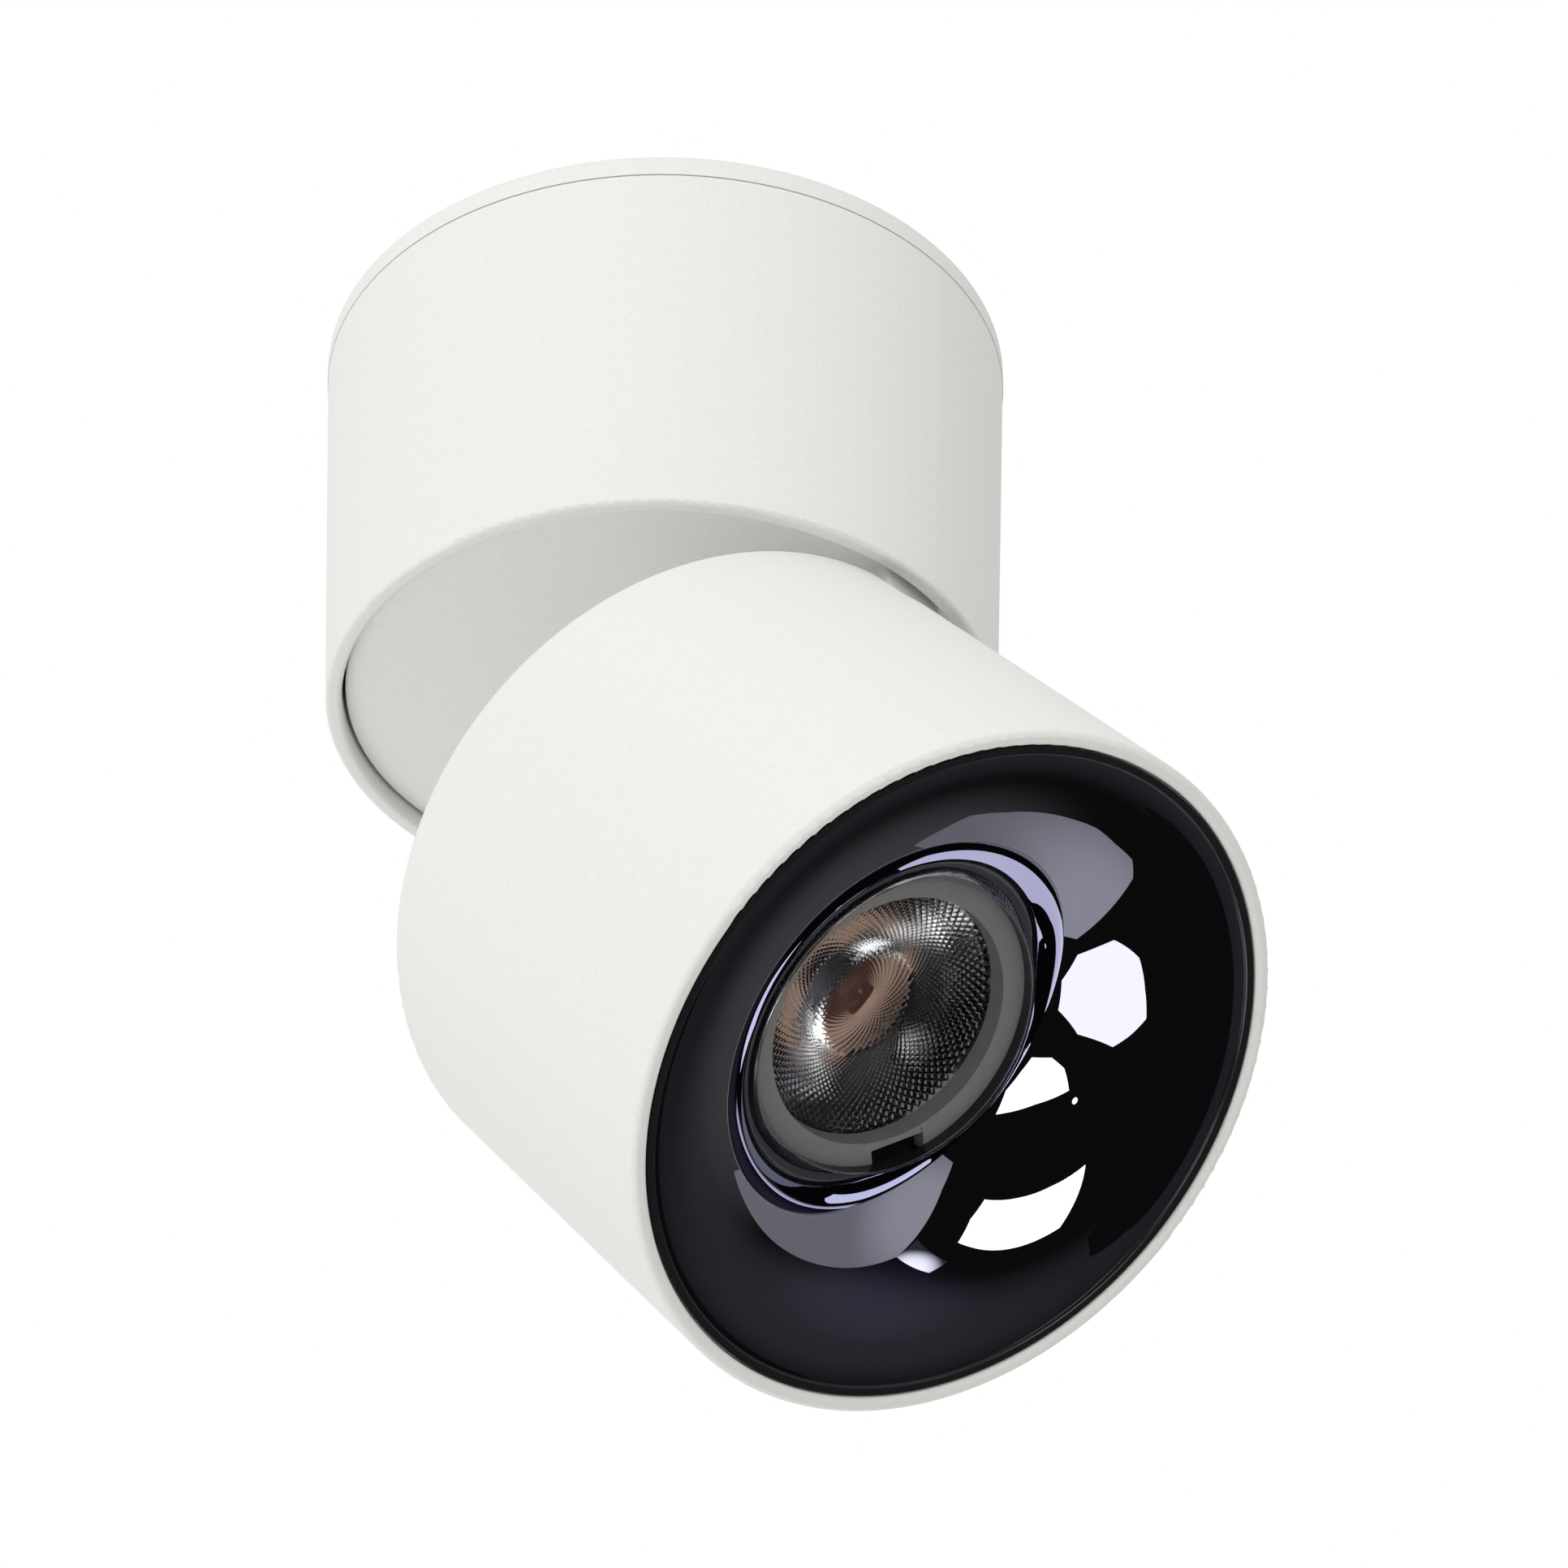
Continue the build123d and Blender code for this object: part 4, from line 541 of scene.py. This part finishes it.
def area_light(name, offset, size, power):
    """A square light that looks at the object and shows in no mirror."""
    spot = MIDDLE + right * offset[0] + ahead * offset[1] + Vector((0, 0, offset[2]))
    data = bpy.data.lights.new(name, "AREA")
    data.shape = "SQUARE"
    data.size = size
    data.energy = power
    obj = bpy.data.objects.new(name, data)
    obj.location = spot
    obj.rotation_euler = (MIDDLE - spot).to_track_quat("-Z", "Y").to_euler()
    obj.visible_glossy = False
    bpy.context.scene.collection.objects.link(obj)


for light in LIGHTS:
    area_light(*light)

# ------------------------------------------------------------------ studio
# What the mirror and the lens look out on: a dark room with two soft boxes, a
# strip light, a spark, a foil, a shade and two grey screens.  Directions are
# degrees round the beam from the hinge side and up from the head's front plane.
DOME_RADIUS = 1.6
CARD_RADIUS = 1.5
DOME_FOOT = -16
DOME_TOP = 89
DOME_ROWS = 24
DOME_TURNS = 64
ROOM_DARK = (0.008, 0.008, 0.007)
# Azimuth, elevation, inner and outer angle, colour.
ROOM_GLOWS = [
    (-58, 48, 8, 30, (0.046, 0.041, 0.045)),
    (-36, 48, 3, 22, (0.022, 0.018, 0.034)),
    (-92, 0, 5, 42, (0.085, 0.080, 0.076)),
]
ROOM = Matrix.Translation(FRONT * MM) @ Matrix((HEAD_X, HEAD_Y, HEAD_Z)).transposed().to_4x4()


def toward(azimuth, elevation):
    """The unit direction in the room."""
    a, e = radians(azimuth), radians(elevation)
    return Vector((cos(e) * cos(a), cos(e) * sin(a), sin(e)))


def glow_material(name, base, glows):
    """A surface that shines by itself: a base level and glows that swell to their middle."""
    mat = bpy.data.materials.new(name)
    mat.use_nodes = True
    tree = mat.node_tree
    tree.nodes.clear()
    coords = tree.nodes.new("ShaderNodeTexCoord")
    unit = tree.nodes.new("ShaderNodeVectorMath")
    unit.operation = "NORMALIZE"
    tree.links.new(coords.outputs["Object"], unit.inputs[0])
    total = tree.nodes.new("ShaderNodeVectorMath")
    total.operation = "ADD"
    total.inputs[0].default_value = base
    for azimuth, elevation, inner, outer, color in glows:
        dot = tree.nodes.new("ShaderNodeVectorMath")
        dot.operation = "DOT_PRODUCT"
        dot.inputs[1].default_value = toward(azimuth, elevation)
        fade = tree.nodes.new("ShaderNodeMapRange")
        fade.interpolation_type = "SMOOTHSTEP"
        fade.inputs["From Min"].default_value = cos(radians(outer))
        fade.inputs["From Max"].default_value = cos(radians(inner))
        tint = tree.nodes.new("ShaderNodeVectorMath")
        tint.operation = "SCALE"
        tint.inputs[0].default_value = color
        added = tree.nodes.new("ShaderNodeVectorMath")
        added.operation = "ADD"
        tree.links.new(unit.outputs["Vector"], dot.inputs[0])
        tree.links.new(dot.outputs["Value"], fade.inputs["Value"])
        tree.links.new(fade.outputs["Result"], tint.inputs["Scale"])
        tree.links.new(total.outputs["Vector"], added.inputs[0])
        tree.links.new(tint.outputs["Vector"], added.inputs[1])
        total = added
    shine = tree.nodes.new("ShaderNodeEmission")
    end = tree.nodes.new("ShaderNodeOutputMaterial")
    tree.links.new(total.outputs["Vector"], shine.inputs["Color"])
    tree.links.new(shine.outputs["Emission"], end.inputs["Surface"])
    return mat


def studio_piece(name, verts, faces, mat):
    """A piece of the room that only mirrors and glass look at."""
    obj = mesh_object(name, verts, faces)
    obj.data.materials.append(mat)
    obj.matrix_world = ROOM
    obj.visible_camera = False
    obj.visible_diffuse = False
    obj.visible_shadow = False
    obj.visible_volume_scatter = False


def card(name, corners, base, glows=()):
    """One shape of the room, drawn by its corners' directions."""
    verts = [toward(*corner) * CARD_RADIUS for corner in corners]
    studio_piece(name, verts, [tuple(range(len(verts)))], glow_material(name, base, glows))


def dome():
    """The dark room itself, from below the head's front plane to the top."""
    rise = (DOME_TOP - DOME_FOOT) / DOME_ROWS
    elevations = [DOME_FOOT + rise * k for k in range(DOME_ROWS + 1)]
    turns = [360 * j / DOME_TURNS for j in range(DOME_TURNS)]
    verts = [toward(turn, e) * DOME_RADIUS for e in elevations for turn in turns]
    faces = []
    for i in range(DOME_ROWS):
        low, high = i * DOME_TURNS, (i + 1) * DOME_TURNS
        for j in range(DOME_TURNS):
            n = (j + 1) % DOME_TURNS
            faces.append((low + j, low + n, high + n, high + j))
    faces.append(tuple(DOME_ROWS * DOME_TURNS + j for j in range(DOME_TURNS)))
    studio_piece("room_dark", verts, faces, glow_material("room_dark", ROOM_DARK, ROOM_GLOWS))


def grey(level):
    return (level, level, level)


dome()
BOX_LEFT = [(-169, 17), (-157, 32), (-157, 44), (-165, 51), (-172, 57),
            (172, 55), (159, 51), (151, 32), (158, 17), (175, 13)]
BOX_RIGHT = [(86, 18), (101, 14), (115, 15), (126, 16),
             (132, 26), (131, 35), (123, 44), (105, 33)]
STRIP = [(14, 52), (30, 48), (44, 46), (54, 59), (69, 69), (100, 77),
         (61, 84), (-16, 82), (1, 76), (10, 66), (13, 58)]
SHADE = [(-91, 50), (-90, 56), (-86, 62), (-80, 72), (-120, 74),
         (-132, 50), (-108, 46), (-96, 46), (-92, 48)]
SPARK_AT = (121, 50)
SPARK_HALF = (2.2, 1.4)
SPARK = [
    (SPARK_AT[0] + SPARK_HALF[0] * cos(radians(a)), SPARK_AT[1] + SPARK_HALF[1] * sin(radians(a)))
    for a in range(0, 360, 30)
]
FOIL = [(-10, 39), (4, 38), (0, 55), (-10, 53)]
SCREEN_LEFT = [(48, 19), (33, 26), (17, 31), (-10, 39), (-26, 35), (-38, 30),
               (-48, 24), (-55, 20), (-62, 13), (-69, 8), (-66, -4), (44, -4)]
SCREEN_RIGHT = [(-101, 8), (-103, 15), (-104, 21), (-107, 23), (-110, 27), (-113, 31), (-115, 34),
                (-119, 36), (-122, 39), (-129, 38), (-144, 28), (-161, 15), (-158, -3), (-104, -3)]
card("shade", SHADE, grey(0.008))
card("soft_box_left", BOX_LEFT, grey(2.3))
card("soft_box_right", BOX_RIGHT, grey(3.0))
card("strip_light", STRIP, grey(3.0))
card("spark", SPARK, grey(3.0))
card("foil", FOIL, grey(0.05), [(-12, 47, 2, 10, grey(2.2))])
card("screen_left", SCREEN_LEFT, grey(0.30), [(17, 31, 4, 40, grey(0.27))])
card("screen_right", SCREEN_RIGHT, grey(0.26), [(-150, 20, 4, 45, grey(0.31))])

# ------------------------------------------------------------------ floor
FLOOR_Z = -1.9
FLOOR_HALF = 6.0
floor_corners = [(-1, -1), (1, -1), (1, 1), (-1, 1)]
floor_verts = [(x * FLOOR_HALF, y * FLOOR_HALF, FLOOR_Z) for x, y in floor_corners]
floor = mesh_object("floor", floor_verts, [(0, 1, 2, 3)])
floor.data.materials.append(material("floor_pale", (0.86, 0.86, 0.85), rough=0.8))
